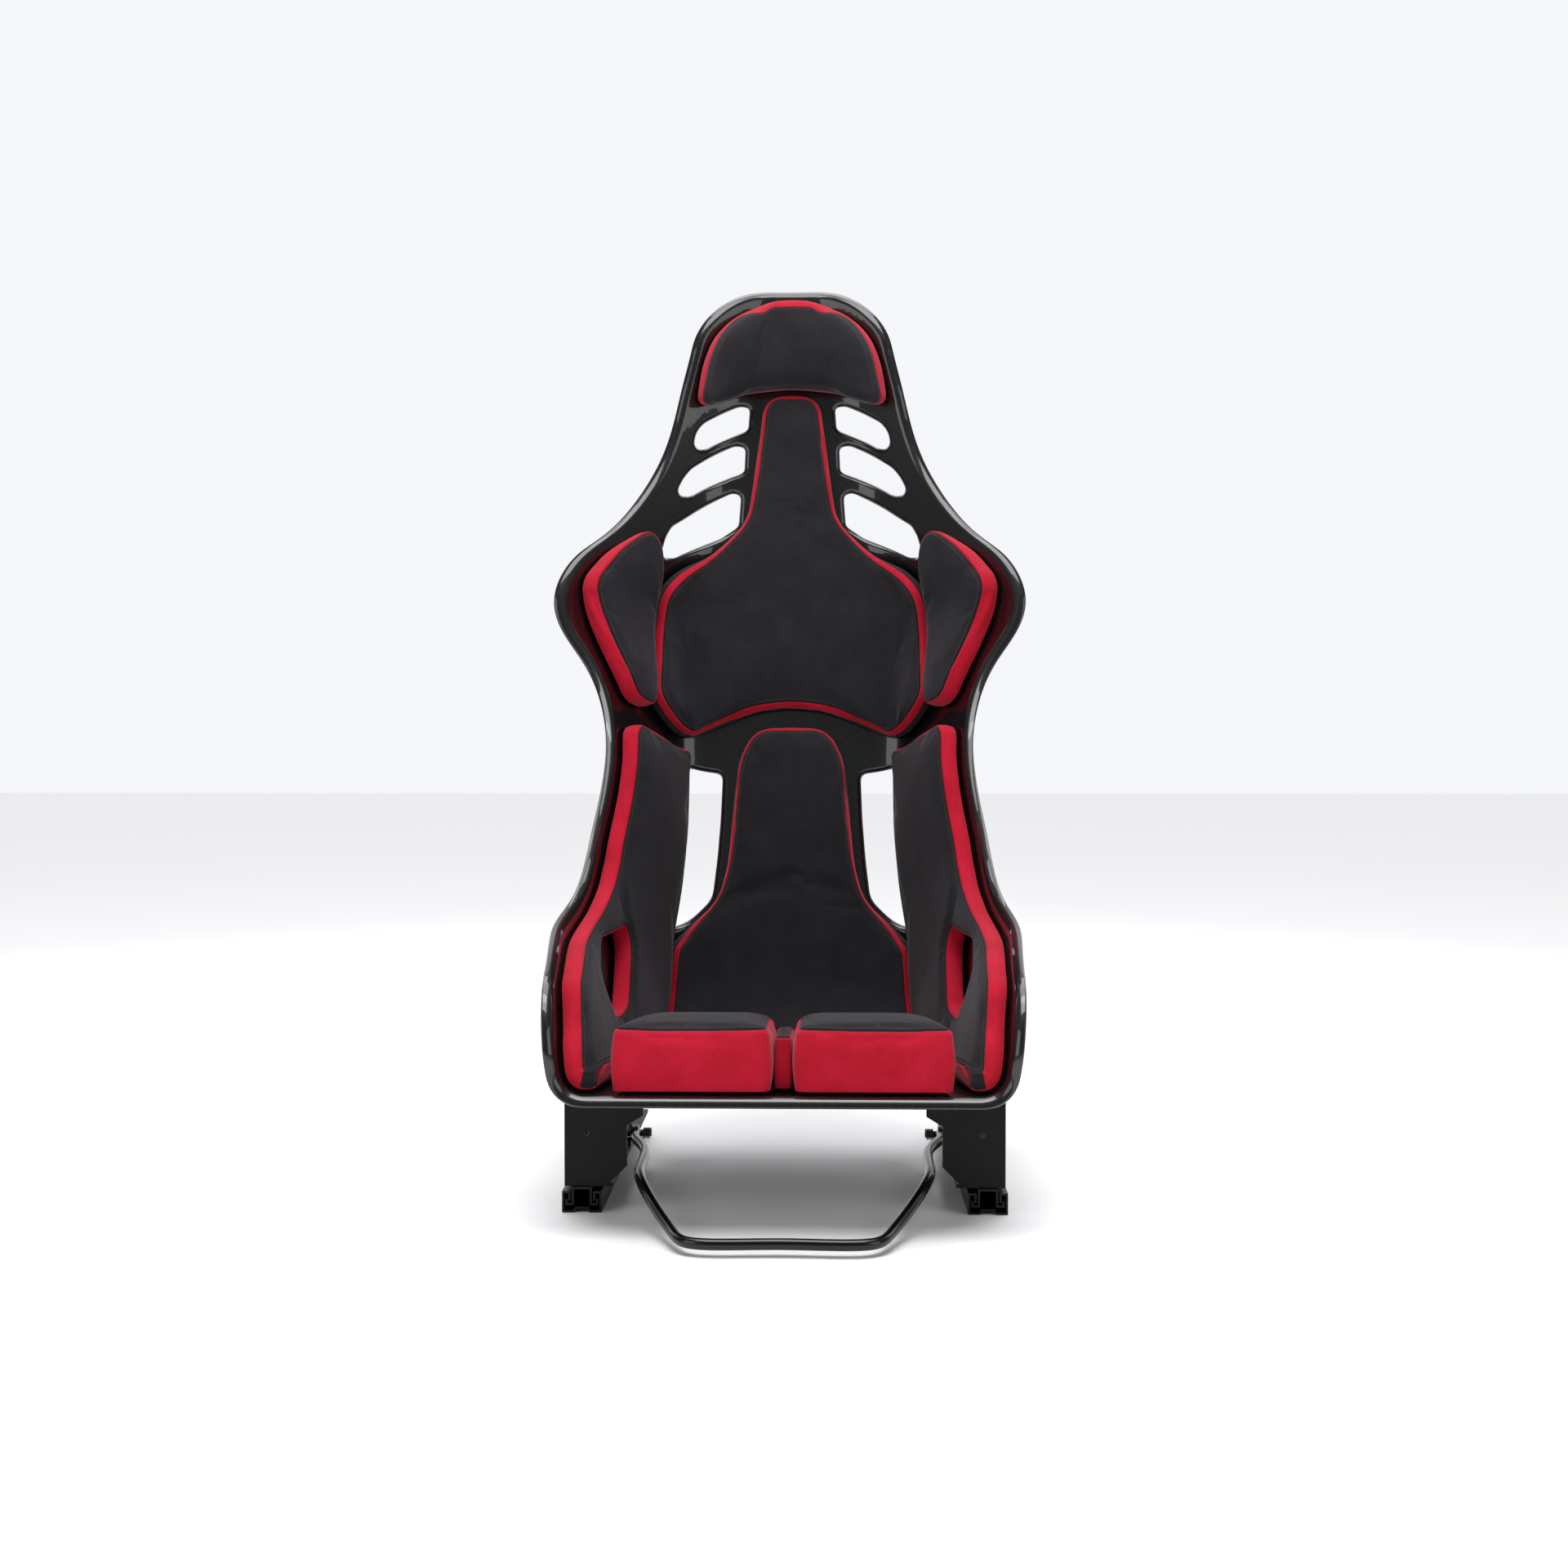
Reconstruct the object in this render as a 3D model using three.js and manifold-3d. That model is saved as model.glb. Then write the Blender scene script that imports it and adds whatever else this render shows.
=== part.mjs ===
// A fixed-back bucket racing seat on slider rails: a thin carbon shell with glued pads, side
// brackets, ball-guided rails, and a lift bar that works the lock pawls.
// Millimetres. Front of the seat towards -Y, up is +Z, floor face of the rails at z = 0.
import * as THREE from 'three';
import { mergeVertices } from 'three/addons/utils/BufferGeometryUtils.js';
import Module from 'manifold-3d';

// ---- driving sizes ---------------------------------------------------------------------------
const SHELL_WIDTH = 585;       // over the shoulder rims
const SHELL_TALL = 1018;       // pan bottom to the top of the head rim
const SHELL_T = 4;             // laminate
const RIM_ROLL = 10;           // radius of the rolled edge
const RIM_TURN = 78;           // how far the edge rolls over, degrees
const FRONT_CORNER = 55;       // corner radius of the shell's front edge
const HEAD_CORNER = [105, 75]; // corner of the head edge, across and along

const PAD_GAP = 4;             // glue and hook tape under a pad
const BACK_PAD_T = 20;
const SEAT_PAD_T = 22;
const WING_PAD_T = 24;         // shoulder pads
const SIDE_PAD_T = 22;         // hip pads
const HEAD_PAD_T = 42;
const THIGH_PAD_T = 68;
const STRIP_PAD_T = 55;        // strip between the thigh pads

const RAIL_LENGTH = 400;
const RAIL_WIDTH = 44;
const RAIL_INBOARD = 67.5;     // shoulder rim to the middle of each rail
const RAIL_X = SHELL_WIDTH / 2 - RAIL_INBOARD;
const RAIL_MID_Y = 32;
const RAIL_SHEET = 2.4;
const RAIL_TALL = 24;          // lower rail
const TRAVEL = 105;            // each way
const NOTCH_PITCH = 15;
const BALL_D = 5;

const PLATE_T = 4;             // bracket steel
const BOLT_D = 8;
const BOLT_HOLE = 8.9;
const CLEAR = 0.4;             // between pieces that touch
const BOSS_D = 30;
const BOSS_FRONT = [-120, 192];  // y, z of the front pair of shell bolts
const BOSS_REAR = [160, 214];
const BAR_D = 12;              // lift bar tube
const PIVOT = [25, 46];        // y, z of the lift bar's pivot
const PIN_D = 8;
const FINGER_ARM = 30;         // pivot to the finger that lifts the pawl
const FINGER_D = 5;

// ---- the loft: centre line and rim, front edge of the pan to the top of the head -------------
// centre y, z | rim x, y, z | wall angle, degrees | length of the bend from floor to wall
const STATIONS = [
  [-269, 148, 252, -254, 238, 80, 56],
  [-185, 144, 253, -175, 284, 78, 60],
  [-85, 133, 257, -100, 312, 77, 66],
  [15, 121, 249, -35, 332, 77, 74],
  [90, 116, 242, 7, 354, 77, 80],
  [150, 127, 238, 35, 380, 77, 84],
  [191, 162, 234, 55, 410, 76, 88],
  [220, 232, 227, 73, 450, 75, 90],
  [244, 352, 220, 89, 512, 72, 92],
  [265, 480, 227, 95, 572, 68, 94],
  [281, 600, 254, 91, 632, 63, 96],
  [294, 710, 285, 95, 706, 57, 96],
  [303, 780, 257, 140, 766, 50, 94],
  [309, 840, 216, 204, 814, 44, 84],
  [316, 920, 167, 259, 902, 38, 72],
  [321, 1000, 143, 273, 990, 34, 64],
  [324, 1070, 126, 279, 1062, 32, 58],
  [326, 1135, 116, 281, 1128, 30, 54],
];
const LOFT_WIDTH = 585;        // the width and height that the table above is drawn for
const LOFT_TALL = 1018;
const PAN_Z = 114;

// ---- outlines on the loft: across from the middle, along the centre line from the front ------
const VENTS = [
  [[58, 1304], [70, 1306], [126, 1284], [136, 1274], [140, 1258], [132, 1250], [119, 1250], [60, 1273]],
  [[64, 1249], [76, 1252], [144, 1225], [157, 1213], [166, 1198], [162, 1190], [146, 1186], [65, 1215]],
  [[70, 1183], [80, 1187], [176, 1144], [187, 1127], [194, 1104], [188, 1094], [168, 1094], [96, 1124],
    [73, 1140]],
];
const LUMBAR_OPENING = [[95, 800], [138, 806], [147, 730], [158, 672], [169, 612], [172, 574], [136, 604],
  [108, 635], [102, 688], [98, 741]];
const BELT_SLOT = [[360, 280], [356, 335], [326, 318], [278, 280], [276, 252], [326, 238]];
const BELT_CUT = [[365, 262], [364, 385], [336, 375], [272, 290], [267, 238], [325, 213]];   // the same slot through the hip pad
const BACK_PAD = [[36, 1314], [52, 1187], [60, 1140], [106, 1100], [172, 1078], [204, 1047], [220, 955],
  [240, 878], [205, 852], [146, 843], [103, 860], [52, 885], [0, 891]];
const SEAT_PAD = [[0, 860], [47, 859], [70, 818], [82, 676], [96, 627], [135, 594], [192, 528], [182, 436],
  [176, 330], [166, 190], [0, 190]];
const SHOULDER_PAD = [[222, 1118], [240, 1134], [300, 1102], [352, 1056], [350, 1012], [328, 914],
  [306, 838], [264, 846], [250, 862], [238, 905], [230, 955], [217, 1050], [215, 1085]];
const SIDE_PAD_INNER = [[203, 16], [192, 84], [184, 186], [188, 300], [194, 436], [206, 525], [192, 574],
  [182, 612], [170, 672], [158, 730], [150, 808], [152, 826]];
const SIDE_PAD_TOP = [[240, 806], [312, 778]];
const SIDE_PAD_INSET = 19;     // hip pad's edge to the rim
const SIDE_PAD_FRONT = 16;
const HEAD_PAD = [[0, 1441], [45, 1440], [94, 1428], [120, 1403], [137, 1362], [143, 1306], [72, 1320],
  [0, 1327]];
const THIGH_PAD = [[13, 10], [182, 10], [172, 84], [160, 178], [13, 178]];
const STRIP_PAD = [[-9, 12], [9, 12], [9, 178], [-9, 178]];

const wasm = await Module();
wasm.setup();

// ---- curves and the loft surface ---------------------------------------------------------------
const mix = (a, b, t) => a + (b - a) * t;
const smooth = (t) => { const c = Math.min(1, Math.max(0, t)); return c * c * (3 - 2 * c); };
const rad = THREE.MathUtils.degToRad;

// natural cubic spline through (xs, ys)
function through(xs, ys) {
  const n = xs.length;
  const m = new Array(n).fill(0);
  const c = new Array(n).fill(0);
  const d = new Array(n).fill(0);
  for (let i = 1; i < n - 1; i++) {
    const h0 = xs[i] - xs[i - 1];
    const h1 = xs[i + 1] - xs[i];
    const p = 2 * (h0 + h1) - h0 * c[i - 1];
    c[i] = h1 / p;
    d[i] = (6 * ((ys[i + 1] - ys[i]) / h1 - (ys[i] - ys[i - 1]) / h0) - h0 * d[i - 1]) / p;
  }
  for (let i = n - 2; i > 0; i--) m[i] = d[i] - c[i] * m[i + 1];
  return (x) => {
    let i = 0;
    while (i < n - 2 && x > xs[i + 1]) i++;
    const h = xs[i + 1] - xs[i];
    const u = xs[i + 1] - x;
    const t = x - xs[i];
    return (m[i] * u ** 3 + m[i + 1] * t ** 3) / (6 * h)
      + (ys[i] / h - m[i] * h / 6) * u + (ys[i + 1] / h - m[i + 1] * h / 6) * t;
  };
}

// across and up travelled along a bend that turns smoothly from flat to `angle`, up to part q of it
function bend(angle, q) {
  const steps = 12;
  let x = 0;
  let h = 0;
  for (let i = 0; i < steps; i++) {
    const turn = angle * smooth(q * (i + 0.5) / steps);
    x += Math.cos(turn) * q / steps;
    h += Math.sin(turn) * q / steps;
  }
  return [x, h];
}

const stationS = [0];
for (let i = 1; i < STATIONS.length; i++) {
  const [p, q] = [STATIONS[i - 1], STATIONS[i]];
  stationS.push(stationS[i - 1] + Math.hypot(q[0] - p[0], q[1] - p[1]));
}
const LENGTH = stationS[stationS.length - 1];
const sections = STATIONS.map(([cy, cz, rx, ry, rz, wall, bendLength]) => {
  const angle = rad(wall);
  const rise = Math.hypot(ry - cy, rz - cz);
  const [bx, bh] = bend(angle, 1);
  const straight = (rise - bendLength * bh) / Math.sin(angle);
  const flat = rx - bendLength * bx - straight * Math.cos(angle);
  const tilt = Math.atan2(cy - ry, rz - cz);
  return { cy, cz, angle, bendLength, flat, tilt: tilt < -1 ? tilt + 2 * Math.PI : tilt,
    rim: flat + bendLength + straight };
});
const along = (key) => through(stationS, sections.map((section) => section[key]));
const loft = Object.fromEntries(
  ['cy', 'cz', 'angle', 'bendLength', 'flat', 'tilt', 'rim'].map((key) => [key, along(key)]));
const wide = SHELL_WIDTH / LOFT_WIDTH;
const tall = SHELL_TALL / LOFT_TALL;

function surface(a, s) {
  const flat = loft.flat(s);
  const length = loft.bendLength(s);
  const angle = loft.angle(s);
  const far = Math.abs(a);
  const q = Math.min(1, Math.max(0, (far - flat) / length));
  const [bx, bh] = bend(angle, q);
  const rest = Math.max(0, far - flat - length);
  const x = Math.min(far, flat) + length * bx + rest * Math.cos(angle);
  const h = length * bh + rest * Math.sin(angle);
  const tilt = loft.tilt(s);
  const z = loft.cz(s) + Math.cos(tilt) * h;
  return new THREE.Vector3(Math.sign(a) * x * wide, loft.cy(s) - Math.sin(tilt) * h,
    PAN_Z + (z - PAN_Z) * tall);
}

function frameAt(a, s, e = 0.5) {
  const across = surface(a + e, s).sub(surface(a - e, s)).divideScalar(2 * e);
  const forth = surface(a, s + e).sub(surface(a, s - e)).divideScalar(2 * e);
  const normal = across.clone().cross(forth).normalize();
  return { across, forth, normal };
}

// a point lifted off the loft towards the sitter
const lifted = (a, s, h) => surface(a, s).addScaledVector(frameAt(a, s).normal, h);

// ---- solids ------------------------------------------------------------------------------------
function geometryOf(points, faces) {
  let volume = 0;
  const cross = new THREE.Vector3();
  for (const [i, j, k] of faces) {
    volume += cross.crossVectors(points[i], points[j]).dot(points[k]);
  }
  const geometry = new THREE.BufferGeometry();
  geometry.setAttribute('position', new THREE.Float32BufferAttribute(points.flatMap((p) => p.toArray()), 3));
  geometry.setIndex(faces.flatMap(([i, j, k]) => (volume > 0 ? [i, j, k] : [i, k, j])));
  return geometry;
}

function toSolid(geometry) {
  const bare = geometry.clone();
  bare.deleteAttribute('normal');
  bare.deleteAttribute('uv');
  const merged = mergeVertices(bare, 1e-4);
  const index = [];
  for (let i = 0; i < merged.index.count; i += 3) {
    const [a, b, c] = [merged.index.getX(i), merged.index.getX(i + 1), merged.index.getX(i + 2)];
    if (a !== b && b !== c && a !== c) index.push(a, b, c);
  }
  return new wasm.Manifold(new wasm.Mesh({
    numProp: 3,
    vertProperties: new Float32Array(merged.attributes.position.array),
    triVerts: new Uint32Array(index),
  }));
}

function fromSolid(solid) {
  const mesh = solid.getMesh();
  const geometry = new THREE.BufferGeometry();
  geometry.setAttribute('position', new THREE.BufferAttribute(new Float32Array(mesh.vertProperties), 3));
  geometry.setIndex(Array.from(mesh.triVerts));
  return geometry;
}

const cut = (body, tools) => fromSolid(tools.reduce((rest, tool) => rest.subtract(toSolid(tool)),
  toSolid(body)));
const join = (parts) => fromSolid(parts.slice(1).reduce((sum, part) => sum.add(toSolid(part)),
  toSolid(parts[0])));

// rings of equal count, closed at both ends by a fan to a point
function ringSolid(start, rings, end) {
  const points = [start, ...rings.flat(), end];
  const n = rings[0].length;
  const last = points.length - 1;
  const faces = [];
  for (let i = 0; i < n; i++) {
    const j = (i + 1) % n;
    faces.push([0, 1 + j, 1 + i]);
    for (let r = 0; r < rings.length - 1; r++) {
      const [p, q] = [1 + r * n, 1 + (r + 1) * n];
      faces.push([p + i, p + j, q + i], [p + j, q + j, q + i]);
    }
    const top = 1 + (rings.length - 1) * n;
    faces.push([top + i, top + j, last]);
  }
  return geometryOf(points, faces);
}

// ---- outline helpers, all in loft coordinates ---------------------------------------------------
const mirrored = (outline) => outline.map(([a, s]) => [-a, s]).reverse();
const fullOutline = (half) => [...half, ...mirrored(half).filter(([a]) => Math.abs(a) > 0.01)];

// each corner turned into an arc-like curve that starts `radius` before it
function rounded(outline, radius, steps = 2) {
  const out = [];
  outline.forEach((corner, i) => {
    const before = outline.at(i - 1);
    const after = outline[(i + 1) % outline.length];
    const ends = [before, after].map((other) => {
      const far = Math.hypot(other[0] - corner[0], other[1] - corner[1]);
      const t = Math.min(radius, far * 0.45) / far;
      return [mix(corner[0], other[0], t), mix(corner[1], other[1], t)];
    });
    for (let k = 0; k <= steps; k++) {
      const t = k / steps;
      out.push([0, 1].map((c) => (1 - t) ** 2 * ends[0][c] + 2 * t * (1 - t) * corner[c]
        + t ** 2 * ends[1][c]));
    }
  });
  return out;
}

// the same closed outline with points about `step` apart
function even(outline, step) {
  const lengths = outline.map((p, i) => {
    const q = outline[(i + 1) % outline.length];
    return Math.hypot(q[0] - p[0], q[1] - p[1]);
  });
  const total = lengths.reduce((x, y) => x + y, 0);
  const count = Math.round(total / step);
  const out = [];
  let i = 0;
  let done = 0;
  for (let k = 0; k < count; k++) {
    const goal = total * k / count;
    while (done + lengths[i] < goal) done += lengths[i++];
    const t = (goal - done) / lengths[i];
    const q = outline[(i + 1) % outline.length];
    out.push([mix(outline[i][0], q[0], t), mix(outline[i][1], q[1], t)]);
  }
  return out;
}

const areaOf = (outline) => outline.reduce((sum, p, i) => {
  const q = outline[(i + 1) % outline.length];
  return sum + (p[0] * q[1] - q[0] * p[1]) / 2;
}, 0);

function inset(outline, distance) {
  const side = Math.sign(areaOf(outline)) * distance;
  return outline.map((p, i) => {
    const before = outline.at(i - 1);
    const after = outline[(i + 1) % outline.length];
    const [dx, dy] = [after[0] - before[0], after[1] - before[1]];
    const far = Math.hypot(dx, dy) || 1;
    return [p[0] - dy / far * side, p[1] + dx / far * side];
  });
}

const shrunk = (outline, [ca, cs], k) => outline.map(([a, s]) => [mix(ca, a, k), mix(cs, s, k)]);

// a pad glued to the inside of the shell: flat sides, a rounded shoulder and a gently crowned top
function cushion(outline, centre, thick, { edge = 10, crown = 3, up = false, shares = [0.5] } = {}) {
  const base = SHELL_T / 2 + PAD_GAP;
  const lift = ([a, s], h) => (up
    ? lifted(a, s, base).add(new THREE.Vector3(0, 0, h))
    : lifted(a, s, base + h));
  const level = (loop, h) => loop.map((p) => lift(p, h));
  const inner = inset(outline, edge);
  return ringSolid(lift(centre, 0), [
    ...[...shares].reverse().map((k) => level(shrunk(outline, centre, k), 0)),
    level(outline, 0),
    level(outline, thick - edge * 0.8),
    level(inset(outline, edge * 0.35), thick - edge * 0.25),
    level(inner, thick),
    ...shares.map((k) => level(shrunk(inner, centre, k), thick + crown * (1 - k * k))),
  ], lift(centre, thick + crown));
}

// a plug through the shell along its normals
function plug(loop, reach = 25) {
  const outline = areaOf(loop) > 0 ? loop : [...loop].reverse();
  const n = outline.length;
  const points = [-reach, reach].flatMap((h) => outline.map(([a, s]) => lifted(a, s, h)));
  const caps = THREE.ShapeUtils.triangulateShape(outline.map(([a, s]) => new THREE.Vector2(a, s)), []);
  const faces = caps.flatMap(([i, j, k]) => [[i, k, j], [n + i, n + j, n + k]]);
  for (let i = 0; i < n; i++) {
    const j = (i + 1) % n;
    faces.push([i, j, n + j], [i, n + j, n + i]);
  }
  return geometryOf(points, faces);
}

// ---- shell ---------------------------------------------------------------------------------------
const cornerDrop = (e, depth) => depth * (1 - Math.sqrt(Math.max(0, 1 - Math.min(1, e) ** 2)));
const frontEdge = (f) => cornerDrop(Math.max(0, (Math.abs(f) - 1) * loft.rim(0) / FRONT_CORNER + 1),
  FRONT_CORNER);
const headEdge = (f) => LENGTH - cornerDrop(
  Math.max(0, (Math.abs(f) - 1) * loft.rim(LENGTH) / HEAD_CORNER[0] + 1), HEAD_CORNER[1]);
// f runs -1..1 from rim to rim, v runs 0..1 from the front edge to the head edge
function onShell(f, v) {
  const s = mix(frontEdge(f), headEdge(f), v);
  return [f * loft.rim(s), s];
}
const RIM_STEPS = 120;
const rimLoop = [];
for (let i = 0; i < RIM_STEPS; i++) rimLoop.push(onShell(1, i / RIM_STEPS));
for (let i = 0; i < 40; i++) rimLoop.push(onShell(1 - i / 20, 1));
for (let i = 0; i < RIM_STEPS; i++) rimLoop.push(onShell(-1, 1 - i / RIM_STEPS));
for (let i = 0; i < 40; i++) rimLoop.push(onShell(i / 20 - 1, 0));

function nearestRim(a, s) {
  let best = { far: 1e9 };
  rimLoop.forEach((p, i) => {
    const q = rimLoop[(i + 1) % rimLoop.length];
    const [dx, dy] = [q[0] - p[0], q[1] - p[1]];
    const t = Math.min(1, Math.max(0, ((a - p[0]) * dx + (s - p[1]) * dy) / (dx * dx + dy * dy || 1)));
    const [x, y] = [p[0] + dx * t, p[1] + dy * t];
    const far = Math.hypot(x - a, y - s);
    if (far < best.far) best = { far, x, y };
  });
  return best;
}

// place and facing of the sheet's middle: near the rim it rolls outwards, away from the sitter
function sheetPoint([a, s], [insideA, insideS]) {
  const { across, forth, normal } = frameAt(a, s);
  const probe = [mix(a, insideA, 0.3), mix(s, insideS, 0.3)];
  const rim = nearestRim(a, s);
  const ahead = rim.far > 1 ? rim : nearestRim(...probe);
  const from = rim.far > 1 ? [a, s] : probe;
  const sinTurn = Math.max(0, Math.sin(rad(RIM_TURN)) - rim.far / RIM_ROLL);
  const cosTurn = Math.sqrt(1 - sinTurn ** 2);
  const out = across.multiplyScalar(ahead.x - from[0]).addScaledVector(forth, ahead.y - from[1]);
  out.addScaledVector(normal, -out.dot(normal)).normalize();
  return {
    place: surface(a, s).addScaledVector(normal, -RIM_ROLL * (1 - cosTurn)),
    facing: normal.clone().multiplyScalar(cosTurn).addScaledVector(out, sinTurn),
  };
}

const EDGE_STEPS = [0, 4, 10];
const columns = [0, 0.1, 0.2, 0.28, 0.35, 0.42, 0.49, 0.56, 0.63, 0.7, 0.78, 0.87];
const rows = EDGE_STEPS.map((d) => d / LENGTH);
for (let i = 1; i <= 6; i++) rows.push(i * 55 / LENGTH);
for (let i = 1; i <= 8; i++) rows.push((330 + i * 35) / LENGTH);
for (let i = 1; i <= 12; i++) rows.push((610 + i * 67) / LENGTH);
rows.push(...EDGE_STEPS.map((d) => 1 - d / LENGTH).reverse());

const sheet = rows.map((v, r) => {
  const edges = EDGE_STEPS.map((d) => 1 - d / loft.rim(v * LENGTH)).reverse();
  const half = [...columns, ...edges];
  const line = [...half.slice(1).map((f) => -f).reverse(), ...half];
  const [rowIn, last] = [r === 0 ? 1 : r === rows.length - 1 ? rows.length - 2 : r, line.length - 1];
  return line.map((f, c) => {
    const inner = c === 0 ? line[1] : c === last ? line[last - 1] : f;
    return sheetPoint(onShell(f, v), onShell(inner, rows[rowIn]));
  });
});

// the sheet made solid between two offsets from its middle
function shellBlock(low, high) {
  const skins = [high, low].map((offset) => sheet.map((line) => line.map(
    ({ place, facing }) => place.clone().addScaledVector(facing, offset))));
  const [nr, nc] = [rows.length, sheet[0].length];
  const at = (k, r, c) => k * nr * nc + r * nc + c;
  const faces = [];
  const quad = (p, q, u, v) => faces.push([p, q, u], [p, u, v]);
  for (let r = 0; r < nr - 1; r++) {
    for (let c = 0; c < nc - 1; c++) {
      const [p, q, u, v] = [[r, c], [r, c + 1], [r + 1, c + 1], [r + 1, c]];
      const turned = c >= (nc - 1) / 2 ? [q, u, v, p] : [p, q, u, v];
      quad(...turned.map(([i, j]) => at(0, i, j)));
      quad(...turned.map(([i, j]) => at(1, i, j)).reverse());
    }
  }
  for (let c = 0; c < nc - 1; c++) {
    quad(at(0, 0, c), at(1, 0, c), at(1, 0, c + 1), at(0, 0, c + 1));
    quad(at(0, nr - 1, c + 1), at(1, nr - 1, c + 1), at(1, nr - 1, c), at(0, nr - 1, c));
  }
  for (let r = 0; r < nr - 1; r++) {
    quad(at(0, r + 1, 0), at(1, r + 1, 0), at(1, r, 0), at(0, r, 0));
    quad(at(0, r, nc - 1), at(1, r, nc - 1), at(1, r + 1, nc - 1), at(0, r + 1, nc - 1));
  }
  return geometryOf(skins.flat(2), faces);
}

const holeOutlines = [...VENTS.map((vent) => rounded(vent, 7, 1)), rounded(LUMBAR_OPENING, 9, 1),
  rounded(BELT_SLOT, 16, 1)];
const holes = holeOutlines.flatMap((outline) => [plug(outline), plug(mirrored(outline))]);
const shell = cut(shellBlock(-SHELL_T / 2, SHELL_T / 2), holes);

// ---- pads ----------------------------------------------------------------------------------------
const rimInset = (s, gap) => [loft.rim(s) - gap, s];
const sidePadOutline = [
  ...SIDE_PAD_INNER, ...SIDE_PAD_TOP,
  ...[740, 670, 600, 550, 510, 475, 422, 361, 300, 240, 180, 120, 84, 62].map(
    (s) => rimInset(s, SIDE_PAD_INSET)),
  [loft.rim(0) - SIDE_PAD_INSET - 9, 40], [loft.rim(0) - SIDE_PAD_INSET - 30, 22],
  [loft.rim(0) - SIDE_PAD_INSET - 60, SIDE_PAD_FRONT],
];
const pads = {
  head_pad: cushion(even(rounded(fullOutline(HEAD_PAD), 16), 24), [0, 1385], HEAD_PAD_T,
    { edge: 14, crown: 4 }),
  back_pad: cushion(even(rounded(fullOutline(BACK_PAD), 24), 26), [0, 960], BACK_PAD_T,
    { shares: [0.7, 0.35] }),
  seat_pad: cushion(even(rounded(fullOutline(SEAT_PAD), 24), 26), [0, 470], SEAT_PAD_T),
  strip_pad: cushion(even(rounded(STRIP_PAD, 4), 20), [0, 95], STRIP_PAD_T,
    { edge: 4, crown: 1, up: true }),
};
const pairs = {
  shoulder_pad: cushion(even(rounded(SHOULDER_PAD, 22), 26), [286, 970], WING_PAD_T),
  hip_pad: cut(cushion(even(rounded(sidePadOutline, 20), 34), [300, 430], SIDE_PAD_T,
    { crown: 1, shares: [0.82, 0.6, 0.35] }),
    [plug(rounded(BELT_CUT, 16, 1), 60)]),
  thigh_pad: cushion(even(rounded(THIGH_PAD, 12), 24), [90, 92], THIGH_PAD_T,
    { edge: 12, crown: 3, up: true }),
};

// ---- rails ---------------------------------------------------------------------------------------
const cylinder = (d, from, to, axis, [u, v], sides = 16) => {
  const geometry = new THREE.CylinderGeometry(d / 2, d / 2, Math.abs(to - from), sides);
  const mid = (from + to) / 2;
  if (axis === 'x') geometry.rotateZ(Math.PI / 2).translate(mid, u, v);
  if (axis === 'y') geometry.translate(u, mid, v);
  if (axis === 'z') geometry.rotateX(Math.PI / 2).translate(u, v, mid);
  return geometry;
};
const box = ([x0, y0, z0], [x1, y1, z1]) => new THREE.BoxGeometry(x1 - x0, y1 - y0, z1 - z0)
  .translate((x0 + x1) / 2, (y0 + y1) / 2, (z0 + z1) / 2);

// a bent sheet: the closed outline of a centre line of the given thickness, mirrored about x = 0
function sheetOutline(half, t) {
  const line = [...half, ...half.slice(0, -1).reverse().map(([x, z]) => [-x, z])];
  const side = (sign) => line.map((p, i) => {
    const before = line[Math.max(0, i - 1)];
    const after = line[Math.min(line.length - 1, i + 1)];
    const unit = (q, r) => { const l = Math.hypot(r[0] - q[0], r[1] - q[1]) || 1;
      return [(r[0] - q[0]) / l, (r[1] - q[1]) / l]; };
    const d0 = i ? unit(before, p) : unit(p, after);
    const d1 = i < line.length - 1 ? unit(p, after) : d0;
    const n = [-(d0[1] + d1[1]), d0[0] + d1[0]];
    const l = Math.hypot(...n);
    const mitre = t / (n[0] / l * -d0[1] + n[1] / l * d0[0]) / 2;
    return [p[0] + sign * n[0] / l * mitre, p[1] + sign * n[1] / l * mitre];
  });
  return [...side(1), ...side(-1).reverse()];
}

function railProfile(half, t, length) {
  const shape = new THREE.Shape(sheetOutline(half, t).map(([x, z]) => new THREE.Vector2(x, z)));
  const geometry = new THREE.ExtrudeGeometry(shape, { depth: length, bevelEnabled: false });
  return geometry.rotateX(Math.PI / 2).translate(0, RAIL_MID_Y + length / 2, 0);
}

const side = RAIL_WIDTH / 2 - RAIL_SHEET / 2;
const lipTop = RAIL_TALL - RAIL_SHEET / 2;
const lipX = side - 7;
const webX = lipX - RAIL_SHEET - 1.4;      // upper rail's web, clear of the lip
const hookX = side - RAIL_SHEET - 1.4;
const hookZ = RAIL_SHEET + BALL_D + 2 * CLEAR + RAIL_SHEET / 2;
const topZ = RAIL_TALL + 2.2 + RAIL_SHEET / 2;
const humpZ = 5.2;
const humpTop = humpZ + RAIL_SHEET / 2;
const lowerHalf = [[lipX, 13.5], [lipX, lipTop], [side, lipTop], [side, RAIL_SHEET / 2],
  [webX - 0.8, RAIL_SHEET / 2], [webX - 3, humpZ], [0, humpZ]];
const upperHalf = [[hookX, hookZ + 6], [hookX, hookZ], [webX, hookZ], [webX, topZ], [0, topZ]];

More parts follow.
